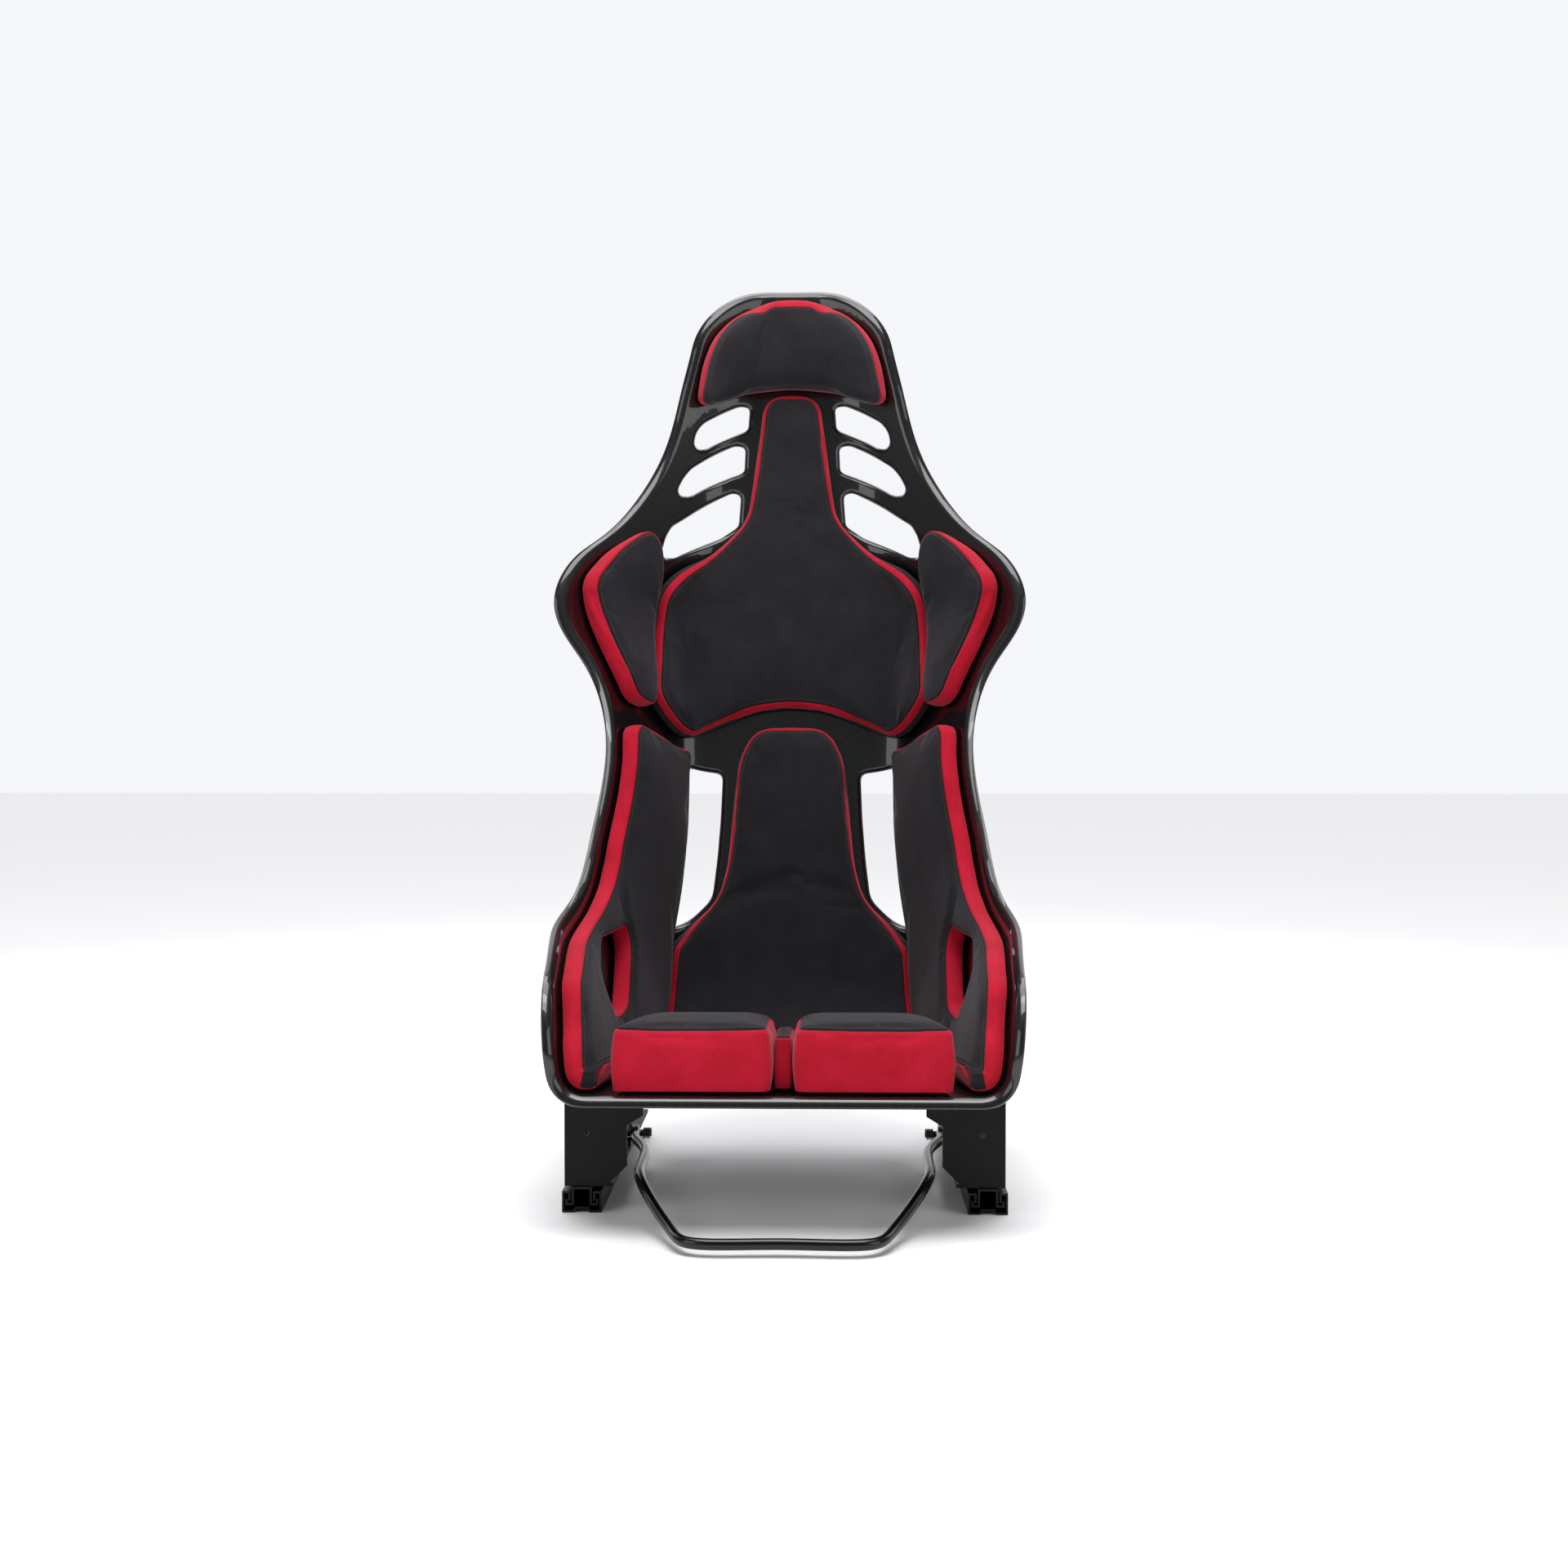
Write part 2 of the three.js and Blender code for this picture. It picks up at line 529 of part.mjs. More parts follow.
const notches = [];
for (let y = -TRAVEL; y <= TRAVEL + 0.1; y += NOTCH_PITCH) {
  const mid = PIVOT[0] - FINGER_ARM + y;
  notches.push(box([-5, mid - 3.6, 2], [5, mid + 3.6, 8]));
}
const boltYs = [-120, 190];                 // bracket foot to upper rail
const floorBoltYs = [RAIL_MID_Y - RAIL_LENGTH / 2 + 18, RAIL_MID_Y + RAIL_LENGTH / 2 - 18];
const fingerY = PIVOT[0] - FINGER_ARM;
const lowerRail = cut(railProfile(lowerHalf, RAIL_SHEET, RAIL_LENGTH), [
  ...notches, ...floorBoltYs.map((y) => cylinder(BOLT_HOLE, 0, 12, 'z', [0, y])),
]);
const STEM = [5, 16];                       // pawl stem, across and along
const stemWindow = (z0, z1) => box([-STEM[0] / 2 - 1.5, fingerY - STEM[1] / 2 - 1.5, z0],
  [STEM[0] / 2 + 1.5, fingerY + STEM[1] / 2 + 1.5, z1]);
const railTopFace = topZ + RAIL_SHEET / 2;
const upperRail = cut(railProfile(upperHalf, RAIL_SHEET, RAIL_LENGTH), [
  stemWindow(topZ - 4, topZ + 4), ...boltYs.map((y) => cylinder(BOLT_HOLE, topZ - 4, topZ + 4, 'z', [0, y])),
]);

// ball strips between the rails, travelling half as far as the seat
const ballX = side - 5.9;
const ballZ = RAIL_SHEET + CLEAR + BALL_D / 2;
const BALL_SPAN = 110;
const cage = cut(box([ballX - 3.8, RAIL_MID_Y - 130, ballZ - 0.6], [ballX + 3.8, RAIL_MID_Y + 130, ballZ + 0.6]),
  [-1, 1].map((k) => cylinder(BALL_D + 2 * CLEAR, ballZ - 2, ballZ + 2, 'z',
    [ballX, RAIL_MID_Y + k * BALL_SPAN], 16)));
const ball = (k) => new THREE.SphereGeometry(BALL_D / 2, 8, 6).rotateX(Math.PI / 2)
  .translate(ballX, RAIL_MID_Y + k * BALL_SPAN, ballZ);

// ---- lift bar, pawls and pins --------------------------------------------------------------------
const [pivotY, pivotZ] = PIVOT;
const footZ = railTopFace + CLEAR;
const finX = RAIL_X - 33;                   // fin of the bracket foot that carries the pivot pin
const eyeX = finX - PLATE_T / 2 - CLEAR - 4;
const EYE_T = 8;
const pinHole = PIN_D + 2 * CLEAR;
const armX = finX - PLATE_T / 2 - CLEAR - BAR_D / 2 - 0.6;
const barPath = new THREE.CatmullRomCurve3([
  [armX, pivotY - 7, pivotZ], [armX - 1, pivotY - 30, pivotZ], [armX - 17, pivotY - 85, pivotZ],
  [armX - 21, pivotY - 175, pivotZ], [armX - 28, pivotY - 226, pivotZ - 3],
  [armX - 45, pivotY - 272, pivotZ - 15], [armX - 70, pivotY - 325, pivotZ - 30],
  [armX - 90, pivotY - 353, pivotZ - 33], [0, pivotY - 355.5, pivotZ - 33],
].map((p) => new THREE.Vector3(...p)), false, 'centripetal');
const rightHalf = barPath.getPoints(30);
const barCurve = new THREE.CatmullRomCurve3(
  [...rightHalf, ...rightHalf.slice(0, -1).reverse().map((p) => new THREE.Vector3(-p.x, p.y, p.z))],
  false, 'centripetal');
const circle = (d, sides) => new THREE.Shape(Array.from({ length: sides }, (_, i) => {
  const turn = 2 * Math.PI * i / sides;
  return new THREE.Vector2(Math.cos(turn) * d / 2, Math.sin(turn) * d / 2);
}));
const tube = (curve, d, steps, sides = 12) => new THREE.ExtrudeGeometry(circle(d, sides),
  { steps, extrudePath: curve, bevelEnabled: false });
const bothSides = (make) => [make(1), make(-1)];
const liftBar = cut(join([
  tube(barCurve, BAR_D, 38, 8),
  ...bothSides((k) => cylinder(PIN_D + 12, k * (eyeX - EYE_T / 2), k * (eyeX + EYE_T / 2), 'x', PIVOT)),
  ...bothSides((k) => cylinder(FINGER_D, k * (eyeX - 2), k * (RAIL_X + 6), 'x', [fingerY, pivotZ], 12)),
]), bothSides((k) => cylinder(pinHole, k * (eyeX - 20), k * (eyeX + 20), 'x', PIVOT)));

const tooth = (y) => box([-4, y - 2.6, humpTop + CLEAR], [4, y + 2.6, 11]);
const pawl = cut(join([
  box([-6, fingerY - 22, 10], [6, fingerY + 22, 17]),
  ...[-1, 0, 1].map((k) => tooth(fingerY + k * NOTCH_PITCH)),
  box([-STEM[0] / 2, fingerY - STEM[1] / 2, 16], [STEM[0] / 2, fingerY + STEM[1] / 2, pivotZ + 8]),
]), [box([-9, fingerY - FINGER_D / 2 - 1.2, pivotZ - FINGER_D / 2 - CLEAR],
  [9, fingerY + FINGER_D / 2 + 1.2, pivotZ + FINGER_D / 2 + CLEAR])]);
const PIN_HEAD = 3;
const pivotPin = join([
  cylinder(PIN_D, finX - 26, finX + PLATE_T / 2 + CLEAR + 1, 'x', PIVOT),
  cylinder(PIN_D + 5, finX + PLATE_T / 2 + CLEAR, finX + PLATE_T / 2 + CLEAR + PIN_HEAD, 'x', PIVOT),
]);
const SPRING_WIRE = 1.8;
const COILS = 4;
const springStart = finX - 25;
class Coil extends THREE.Curve {
  getPoint(t, target = new THREE.Vector3()) {
    const turn = t * 2 * Math.PI * COILS;
    const r = PIN_D / 2 + CLEAR + SPRING_WIRE / 2 + 0.6;
    return target.set(springStart + t * (SPRING_WIRE + 0.6) * COILS, pivotY + r * Math.cos(turn),
      pivotZ + r * Math.sin(turn));
  }
}
const spring = tube(new Coil(), SPRING_WIRE, 44, 5);

// ---- brackets, bosses and bolts --------------------------------------------------------------------
const railOut = RAIL_X + RAIL_WIDTH / 2;
const plateOut = railOut - 2.5;             // outer face of the side plate
const plateIn = plateOut - PLATE_T;
const webY = -165;
function plate(outline, thick, turn) {
  const shape = new THREE.Shape(outline.map(([x, y]) => new THREE.Vector2(x, y)));
  const geometry = new THREE.ExtrudeGeometry(shape, { depth: thick, bevelEnabled: false });
  return turn(geometry);
}
// outline in (y, z), standing across x
const sidePlate = (outline, x0, thick) => plate(outline, thick,
  (g) => g.applyMatrix4(new THREE.Matrix4().makeBasis(new THREE.Vector3(0, 1, 0),
    new THREE.Vector3(0, 0, 1), new THREE.Vector3(1, 0, 0))).translate(x0, 0, 0));
// outline in (x, z), standing across y
const crossPlate = (outline, y0, thick) => plate(outline, thick,
  (g) => g.rotateX(Math.PI / 2).translate(0, y0 + thick, 0));

const ear = ([y, z], foot0, foot1) => [[foot0, footZ + 60], [y - 23, z + 14], [y - 14, z + 23],
  [y + 14, z + 23], [y + 23, z + 14], [foot1, footZ + 60]];
const sideOutline = [[webY, footZ], ...ear(BOSS_FRONT, webY, BOSS_FRONT[0] + 55),
  ...ear(BOSS_REAR, BOSS_REAR[0] - 60, BOSS_REAR[0] + 48), [RAIL_MID_Y + RAIL_LENGTH / 2 - 8, footZ]];
const window1 = [[-95, footZ + 16], [-80, footZ + 44], [pivotY - 40, footZ + 44], [pivotY - 28, footZ + 16]];
const window2 = [[pivotY + 22, footZ + 16], [pivotY + 34, footZ + 44], [130, footZ + 44], [145, footZ + 16]];
const WEB_TOP = 130;
const webOutline = [[finX + 6, footZ], [RAIL_X - 50, 52], [RAIL_X - 50, 97], [RAIL_X - 68, 108],
  [RAIL_X - 68, WEB_TOP], [plateOut, WEB_TOP], [plateOut, footZ]];
const boltLevels = [0, -22];                // two heights for the seat
const bracket = cut(join([
  sidePlate(sideOutline, plateIn, PLATE_T),
  box([finX - PLATE_T / 2, webY, footZ], [plateOut - 1, RAIL_MID_Y + RAIL_LENGTH / 2 - 8, footZ + PLATE_T]),
  sidePlate([[pivotY - 13, footZ + 1], [pivotY - 11, pivotZ + 4], [pivotY, pivotZ + 11],
    [pivotY + 11, pivotZ + 4], [pivotY + 13, footZ + 1]], finX - PLATE_T / 2, PLATE_T),
  crossPlate(webOutline, webY, PLATE_T),
]), [
  sidePlate(window1, plateIn - 5, 20), sidePlate(window2, plateIn - 5, 20),
  cylinder(pinHole, finX - 10, finX + 10, 'x', PIVOT),
  stemWindow(footZ - 4, footZ + 8).translate(RAIL_X, 0, 0),
  ...boltYs.map((y) => cylinder(BOLT_HOLE, footZ - 4, footZ + 9, 'z', [RAIL_X, y])),
  ...[BOSS_FRONT, BOSS_REAR].flatMap(([y, z]) => boltLevels.map(
    (dz) => cylinder(BOLT_HOLE, plateIn - 5, plateOut + 5, 'x', [y, z + dz]))),
  cylinder(6, webY - 5, webY + 10, 'y', [RAIL_X - 6, 88], 16),
]);

// where the shell's wall stands at a height and a length
function wallX(y, z) {
  let best = [1e9, 0];
  for (let s = 60; s < 640; s += 4) {
    for (let f = 0.4; f < 0.97; f += 0.01) {
      const p = surface(f * loft.rim(s), s);
      const far = Math.hypot(p.y - y, p.z - z);
      if (far < best[0]) best = [far, p.x];
    }
  }
  return best[1];
}
const hollow = toSolid(shellBlock(-SHELL_T / 2 - CLEAR, 30));
function bossAndBolt([y, z]) {
  const wall = wallX(y, z);
  const depth = wall + SHELL_T / 2 + 4;
  const head = plateOut + CLEAR + 1.6 + CLEAR;
  return {
    boss: fromSolid(toSolid(cylinder(BOSS_D, wall - 14, plateIn - CLEAR, 'x', [y, z], 24))
      .subtract(toSolid(cylinder(BOLT_HOLE, depth, plateIn + 5, 'x', [y, z], 16))).subtract(hollow)),
    bolt: join([cylinder(BOLT_D, depth + 1, head + 1, 'x', [y, z], 16),
      cylinder(14, head, head + 4.5, 'x', [y, z], 16)]),
    washer: cut(cylinder(17, plateOut + CLEAR, plateOut + CLEAR + 1.6, 'x', [y, z], 16),
      [cylinder(BOLT_HOLE, plateOut - 5, plateOut + 9, 'x', [y, z], 16)]),
  };
}
const railBolt = (y) => join([
  cylinder(BOLT_D, topZ - 9, footZ + PLATE_T + CLEAR + 1, 'z', [RAIL_X, y], 16),
  cylinder(14, footZ + PLATE_T + CLEAR, footZ + PLATE_T + CLEAR + 4.5, 'z', [RAIL_X, y], 16),
]);
const nutTop = topZ - RAIL_SHEET / 2 - CLEAR;
const railNut = (y) => cut(cylinder(14.6, nutTop - 6, nutTop, 'z', [RAIL_X, y], 6),
  [cylinder(BOLT_HOLE, nutTop - 9, nutTop + 3, 'z', [RAIL_X, y], 16)]);

// ---- the seat, put together ------------------------------------------------------------------------
const seat = new THREE.Group();
const LOOKS = {
  carbon: [0x08090c, 0.18, 0], cloth: [0x231c1e, 0.95, 0], red: [0xc2203a, 0.9, 0],
  black: [0x0c0c0d, 0.35, 0.4], zinc: [0x9a9da1, 0.35, 1], steel: [0x6f7276, 0.4, 1],
};
function add(name, geometry, look, mirror = false) {
  const [color, roughness, metalness] = LOOKS[look];
  const part = geometry.clone();
  if (mirror) {
    part.scale(-1, 1, 1);
    const index = part.index ? Array.from(part.index.array)
      : Array.from({ length: part.attributes.position.count }, (_, i) => i);
    for (let i = 0; i < index.length; i += 3) [index[i + 1], index[i + 2]] = [index[i + 2], index[i + 1]];
    part.setIndex(index);
  }
  const mesh = new THREE.Mesh(part, new THREE.MeshStandardMaterial({ color, roughness, metalness }));
  mesh.name = name;
  seat.add(mesh);
}

add('seat_shell', shell, 'carbon');
for (const [name, geometry] of Object.entries(pads)) add(name, geometry, 'cloth');
add('lift_bar', liftBar, 'black');
const onRail = (geometry) => geometry.clone().translate(RAIL_X, 0, 0);
const ends = [['front', BOSS_FRONT, boltYs[0]], ['rear', BOSS_REAR, boltYs[1]]];
const lanes = [['outer', 1], ['inner', -1]];
for (const [hand, mirror] of [['right', false], ['left', true]]) {
  for (const [name, geometry] of Object.entries(pairs)) add(`${name}_${hand}`, geometry, 'cloth', mirror);
  add(`side_bracket_${hand}`, bracket, 'black', mirror);
  add(`upper_rail_${hand}`, onRail(upperRail), 'steel', mirror);
  add(`lower_rail_${hand}`, onRail(lowerRail), 'steel', mirror);
  add(`lock_pawl_${hand}`, onRail(pawl), 'zinc', mirror);
  add(`pivot_pin_${hand}`, pivotPin, 'zinc', mirror);
  add(`return_spring_${hand}`, spring, 'steel', mirror);
  for (const [end, place, railY] of ends) {
    const { boss, bolt, washer } = bossAndBolt(place);
    add(`shell_boss_${end}_${hand}`, boss, 'steel', mirror);
    add(`shell_bolt_${end}_${hand}`, bolt, 'zinc', mirror);
    add(`shell_washer_${end}_${hand}`, washer, 'zinc', mirror);
    add(`rail_bolt_${end}_${hand}`, railBolt(railY), 'zinc', mirror);
    add(`rail_nut_${end}_${hand}`, railNut(railY), 'zinc', mirror);
  }
  for (const [lane, k] of lanes) {
    const placed = (geometry) => onRail(geometry.clone().translate(k > 0 ? 0 : -2 * ballX, 0, 0));
    add(`ball_strip_${lane}_${hand}`, placed(cage), 'zinc', mirror);
    add(`ball_${lane}_front_${hand}`, placed(ball(-1)), 'steel', mirror);
    add(`ball_${lane}_rear_${hand}`, placed(ball(1)), 'steel', mirror);
  }
}

export default seat;
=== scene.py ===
# %% [markdown]
# # A bucket racing seat, looks and soft parts
# The CAD model already holds every solid and joint of the seat. Here the frame is loaded once and
# stays fixed, and each visible piece gets its finish: the carbon shell and the pads are worked
# out again from the same loft, much finer, and the steel parts keep their CAD shapes.

# %% Load the frame
import math

import bpy
import numpy as np
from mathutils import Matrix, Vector
from mathutils.geometry import delaunay_2d_cdt


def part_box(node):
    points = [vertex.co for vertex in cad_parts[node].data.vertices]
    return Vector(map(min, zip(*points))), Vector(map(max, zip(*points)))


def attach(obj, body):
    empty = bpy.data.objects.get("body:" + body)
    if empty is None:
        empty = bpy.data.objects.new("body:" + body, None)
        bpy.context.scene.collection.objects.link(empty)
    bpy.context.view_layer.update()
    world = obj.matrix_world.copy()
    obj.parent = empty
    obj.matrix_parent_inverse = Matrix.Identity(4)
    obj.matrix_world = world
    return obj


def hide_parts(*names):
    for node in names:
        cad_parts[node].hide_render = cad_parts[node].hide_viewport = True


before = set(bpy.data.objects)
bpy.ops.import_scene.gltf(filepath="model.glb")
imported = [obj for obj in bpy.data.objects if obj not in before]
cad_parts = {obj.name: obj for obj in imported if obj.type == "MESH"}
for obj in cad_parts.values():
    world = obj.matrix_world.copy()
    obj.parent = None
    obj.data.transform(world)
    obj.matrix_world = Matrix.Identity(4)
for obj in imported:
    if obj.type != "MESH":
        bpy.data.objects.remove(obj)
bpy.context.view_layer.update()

# %% [markdown]
# ## Camera
# A studio camera a little over two metres in front of the seat, at elbow height. It looks a hair
# to the left and down, so the seat stands just right of the middle and above it. A 41 mm lens at
# that distance keeps the wide front of the pan only slightly larger than the head.

# %% Camera
lens_data = bpy.data.cameras.new("camera")
lens_data.sensor_width = 36
lens_data.lens = 40.875
camera = bpy.data.objects.new("camera", lens_data)
bpy.context.scene.collection.objects.link(camera)
camera.location = (0.044, -2.125, 0.530)
looks_along = Vector((-0.0227, 1, -0.02752)).normalized()
camera.rotation_euler = looks_along.to_track_quat("-Z", "Y").to_euler()
bpy.context.scene.camera = camera
print("camera", tuple(round(x, 3) for x in camera.location), "lens", lens_data.lens, "mm")

# %% [markdown]
# ## Small helpers
# Colours are written as the hex values a painter would read off a screen, and one function turns
# them into the linear numbers that light is added up in. Another adds one shader node, sets its
# properties, and either fills a socket with a value or links it to another node's output.

# %% Helpers for colours, nodes and numbers
def linear(code, alpha=1.0):
    """sRGB hex to linear: below 0.04045 divide by 12.92, else ((c + 0.055) / 1.055) to the 2.4."""
    c = np.array([int(code[i:i + 2], 16) for i in (1, 3, 5)]) / 255
    c = np.where(c <= 0.04045, c / 12.92, ((c + 0.055) / 1.055) ** 2.4)
    return (*(float(x) for x in c), alpha)


def add(tree, kind, sockets=None, **settings):
    """One shader node; sockets maps an input to a value, or to an output that gets linked."""
    made = tree.nodes.new("ShaderNode" + kind)
    for key, value in settings.items():
        setattr(made, key, value)
    for key, value in (sockets or {}).items():
        if isinstance(value, bpy.types.NodeSocket):
            tree.links.new(value, made.inputs[key])
        else:
            made.inputs[key].default_value = value
    return made


def sums(tree, operation, *values, clamp=False):
    """A Math node's output, for one sum such as multiply or sine."""
    return add(tree, "Math", dict(enumerate(values)), operation=operation, use_clamp=clamp).outputs[0]


def finish(name):
    """A new material with one Principled shader; returns the material, its tree and the shader."""
    made = bpy.data.materials.new(name)
    made.use_nodes = True
    tree = made.node_tree
    return made, tree, tree.nodes["Principled BSDF"]


def smooth(t):
    """0 below 0, 1 above 1, and 3t^2 - 2t^3 between."""
    t = np.clip(t, 0, 1)
    return t * t * (3 - 2 * t)


print("black cloth in linear light:", [round(x, 4) for x in linear("#2b282a")[:3]])

# %% [markdown]
# ## Floor and light
# A pale floor and a soft studio: even ceiling panels, a large light overhead, wide lights in front
# and behind on each side that draw a line of gloss along the shell's rolled rim, and a white wall.

# %% Floor
def grid_faces(rows, columns, closed_u=False, closed_v=False):
    """Quads of a grid of points, row by row; closed_u joins the last column to the first."""
    r = np.arange(rows - (0 if closed_v else 1))[:, None]
    c = np.arange(columns - (0 if closed_u else 1))[None, :]
    r2, c2 = (r + 1) % rows, (c + 1) % columns
    quads = np.stack([r * columns + c, r * columns + c2, r2 * columns + c2, r2 * columns + c], -1)
    return quads.reshape(-1, 4)


def mesh_object(name, points, faces, material, uv=None, marks=None, normals=None):
    """A mesh from points in metres; uv is one pair per point and marks are named floats per point."""
    mesh = bpy.data.meshes.new(name)
    mesh.from_pydata(np.asarray(points).tolist(), [], [f for part in faces for f in part.tolist()])
    mesh.polygons.foreach_set("use_smooth", np.ones(len(mesh.polygons), bool))
    corner = np.zeros(len(mesh.loops), np.int32)
    mesh.loops.foreach_get("vertex_index", corner)
    if uv is not None:
        mesh.uv_layers.new(name="cloth").data.foreach_set("uv", uv[corner].astype(np.float32).ravel())
    for key, values in (marks or {}).items():
        mesh.attributes.new(key, "FLOAT", "POINT").data.foreach_set("value", values.astype(np.float32))
    if normals is not None:
        mesh.normals_split_custom_set_from_vertices(normals.tolist())
    mesh.materials.append(material)
    mesh.validate()
    made = bpy.data.objects.new(name, mesh)
    bpy.context.scene.collection.objects.link(made)
    return made


paint, tree, shader = finish("matt_studio_floor_paint")  # plain emulsion: no gloss, no pattern
shader.inputs["Base Color"].default_value = linear("#f8f8f9")
shader.inputs["Roughness"].default_value = 0.9
far = 14.0
floor = mesh_object("floor", np.array([[-far, -far, 0], [far, -far, 0], [far, far, 0], [-far, far, 0]]),
                    [np.array([[0, 1, 2, 3]])], paint)

# %% Lights
# A white wall stands behind the seat and the room in front is dim, so the backdrop stays pale and
# the black gloss doesn't turn grey.
bpy.context.scene.view_settings.view_transform = "Standard"
world = bpy.data.worlds.new("studio_room")
bpy.context.scene.world = world
world.use_nodes = True
tree = world.node_tree
facing = add(tree, "SeparateXYZ", {0: add(tree, "TexCoord").outputs["Generated"]})
to_wall = add(tree, "MapRange", {"Value": facing.outputs["Y"], "From Min": 0.25, "From Max": 0.8,
                                 "To Min": 0.2, "To Max": 0.95}, interpolation_type="SMOOTHSTEP")
tree.links.new(to_wall.outputs["Result"], tree.nodes["Background"].inputs["Strength"])
tree.nodes["Background"].inputs["Color"].default_value = linear("#fbfcff")


def softbox(name, place, aim, size, watts):
    """A rectangular area light at place that faces aim."""
    data = bpy.data.lights.new(name, "AREA")
    data.shape, data.size, data.size_y, data.energy = "RECTANGLE", *size, watts
    lamp = bpy.data.objects.new(name, data)
    bpy.context.scene.collection.objects.link(lamp)
    lamp.location = place
    lamp.rotation_euler = (Vector(aim) - Vector(place)).to_track_quat("-Z", "Y").to_euler()
    return lamp


even = bpy.data.lights.new("ceiling_panels", "SUN")  # far panels: the same strength all over the floor
even.energy, even.angle = 1.8, math.radians(50)
panels = bpy.data.objects.new("ceiling_panels", even)
bpy.context.scene.collection.objects.link(panels)
panels.rotation_euler = (math.radians(-12), 0, 0)
softbox("overhead", (0.0, -0.7, 2.7), (0, 0, 0.4), (1.8, 1.2), 40)
softbox("front_left", (-2.2, -2.0, 1.3), (0, 0, 0.5), (1.8, 1.8), 20)
softbox("front_right", (2.4, -1.8, 1.3), (0, 0, 0.5), (1.8, 1.8), 18)
softbox("back_left", (-1.6, 1.6, 1.6), (0, 0.1, 0.6), (1.4, 1.4), 8)
softbox("back_right", (1.6, 1.6, 1.6), (0, 0.1, 0.6), (1.4, 1.4), 8)
print("ceiling panels, 5 softboxes, a pale wall behind and a dim room in front")

# %% [markdown]
# ## The loft
# The shell is one sheet of laminate moulded over a plug: a flat floor, a bend, and a straight
# wall, whose shape changes from the front of the pan up to the head. Each station below is one
# such section. Two numbers then name any place on the seat: how far across from the middle, a,
# and how far along the centre line from the front, s, both in millimetres. Shell, pads, piping
# and seams all use this one surface, so that they fit each other.

# %% Stations and splines
# centre y, z | rim x, y, z | wall angle, degrees | length of the bend from floor to wall
STATIONS = np.array([
    [-269, 148, 252, -254, 238, 80, 56], [-185, 144, 253, -175, 284, 78, 60],
    [-85, 133, 257, -100, 312, 77, 66], [15, 121, 249, -35, 332, 77, 74],
    [90, 116, 242, 7, 354, 77, 80], [150, 127, 238, 35, 380, 77, 84],
    [191, 162, 234, 55, 410, 76, 88], [220, 232, 227, 73, 450, 75, 90],
    [244, 352, 220, 89, 512, 72, 92], [265, 480, 227, 95, 572, 68, 94],
    [281, 600, 254, 91, 632, 63, 96], [294, 710, 285, 95, 706, 57, 96],
    [303, 780, 257, 140, 766, 50, 94], [309, 840, 216, 204, 814, 44, 84],
    [316, 920, 167, 259, 902, 38, 72], [321, 1000, 143, 273, 990, 34, 64],
    [324, 1070, 126, 279, 1062, 32, 58], [326, 1135, 116, 281, 1128, 30, 54]], float)


def through(x, y):
    """Natural cubic spline through (x, y): second slopes solve one tridiagonal system."""
    h = np.diff(x)
    y = y.reshape(len(x), -1)
    system = np.eye(len(x))
    right = np.zeros_like(y)
    inner = np.arange(1, len(x) - 1)
    system[inner, inner - 1] = h[:-1]
    system[inner, inner] = 2 * (h[:-1] + h[1:])
    system[inner, inner + 1] = h[1:]
    right[1:-1] = 6 * (np.diff(y[1:], axis=0) / h[1:, None] - np.diff(y[:-1], axis=0) / h[:-1, None])
    m = np.linalg.solve(system, right)

    def value(at):
        at = np.asarray(at, float)
        i = np.clip(np.searchsorted(x, at) - 1, 0, len(x) - 2)
        t, u, w = (at - x[i])[..., None], (x[i + 1] - at)[..., None], h[i][..., None]
        return (m[i] * u ** 3 + m[i + 1] * t ** 3) / (6 * w) + (y[i] / w - m[i] * w / 6) * u \
            + (y[i + 1] / w - m[i + 1] * w / 6) * t

    return value


def bend(angle, q):
    """Across and up along a bend that turns smoothly from flat to angle, up to part q of it."""
    turn = angle[..., None] * smooth(q[..., None] * (np.arange(12) + 0.5) / 12)
    return q * np.cos(turn).mean(-1), q * np.sin(turn).mean(-1)


rise_y, rise_z = STATIONS[:, 3] - STATIONS[:, 0], STATIONS[:, 4] - STATIONS[:, 1]
station_s = np.concatenate([[0], np.cumsum(np.hypot(*np.diff(STATIONS[:, :2], axis=0).T))])
LENGTH = station_s[-1]
wall, turning = np.radians(STATIONS[:, 5]), STATIONS[:, 6]
full_x, full_h = bend(wall, np.ones(len(wall)))
straight = (np.hypot(rise_y, rise_z) - turning * full_h) / np.sin(wall)
flat = STATIONS[:, 2] - turning * full_x - straight * np.cos(wall)
lean = np.unwrap(np.arctan2(-rise_y, rise_z))
# centre y, z, wall angle, bend length, flat half width, lean, rim's distance along the sheet
section = through(station_s, np.column_stack([STATIONS[:, :2], wall, turning, flat, lean,
                                              flat + turning + straight]))
rim_at = lambda s: section(s)[..., 6]
print("centre line", round(LENGTH), "mm; half the sheet's width", rim_at(station_s).round())

# %% The surface and what stands on it
def surface(a, s):
    """Flat part, then the bend, then a straight wall, tipped by the station's lean; in mm."""
    a, s = np.broadcast_arrays(np.asarray(a, float), np.asarray(s, float))
    cy, cz, angle, length, floor_half, tip, _ = np.moveaxis(section(s), -1, 0)
    far_out = np.abs(a)
    bx, bh = bend(angle, np.clip((far_out - floor_half) / length, 0, 1))
    rest = np.maximum(0, far_out - floor_half - length)
    x = np.minimum(far_out, floor_half) + length * bx + rest * np.cos(angle)
    h = length * bh + rest * np.sin(angle)
    return np.stack([np.sign(a) * x, cy - np.sin(tip) * h, cz + np.cos(tip) * h], -1)


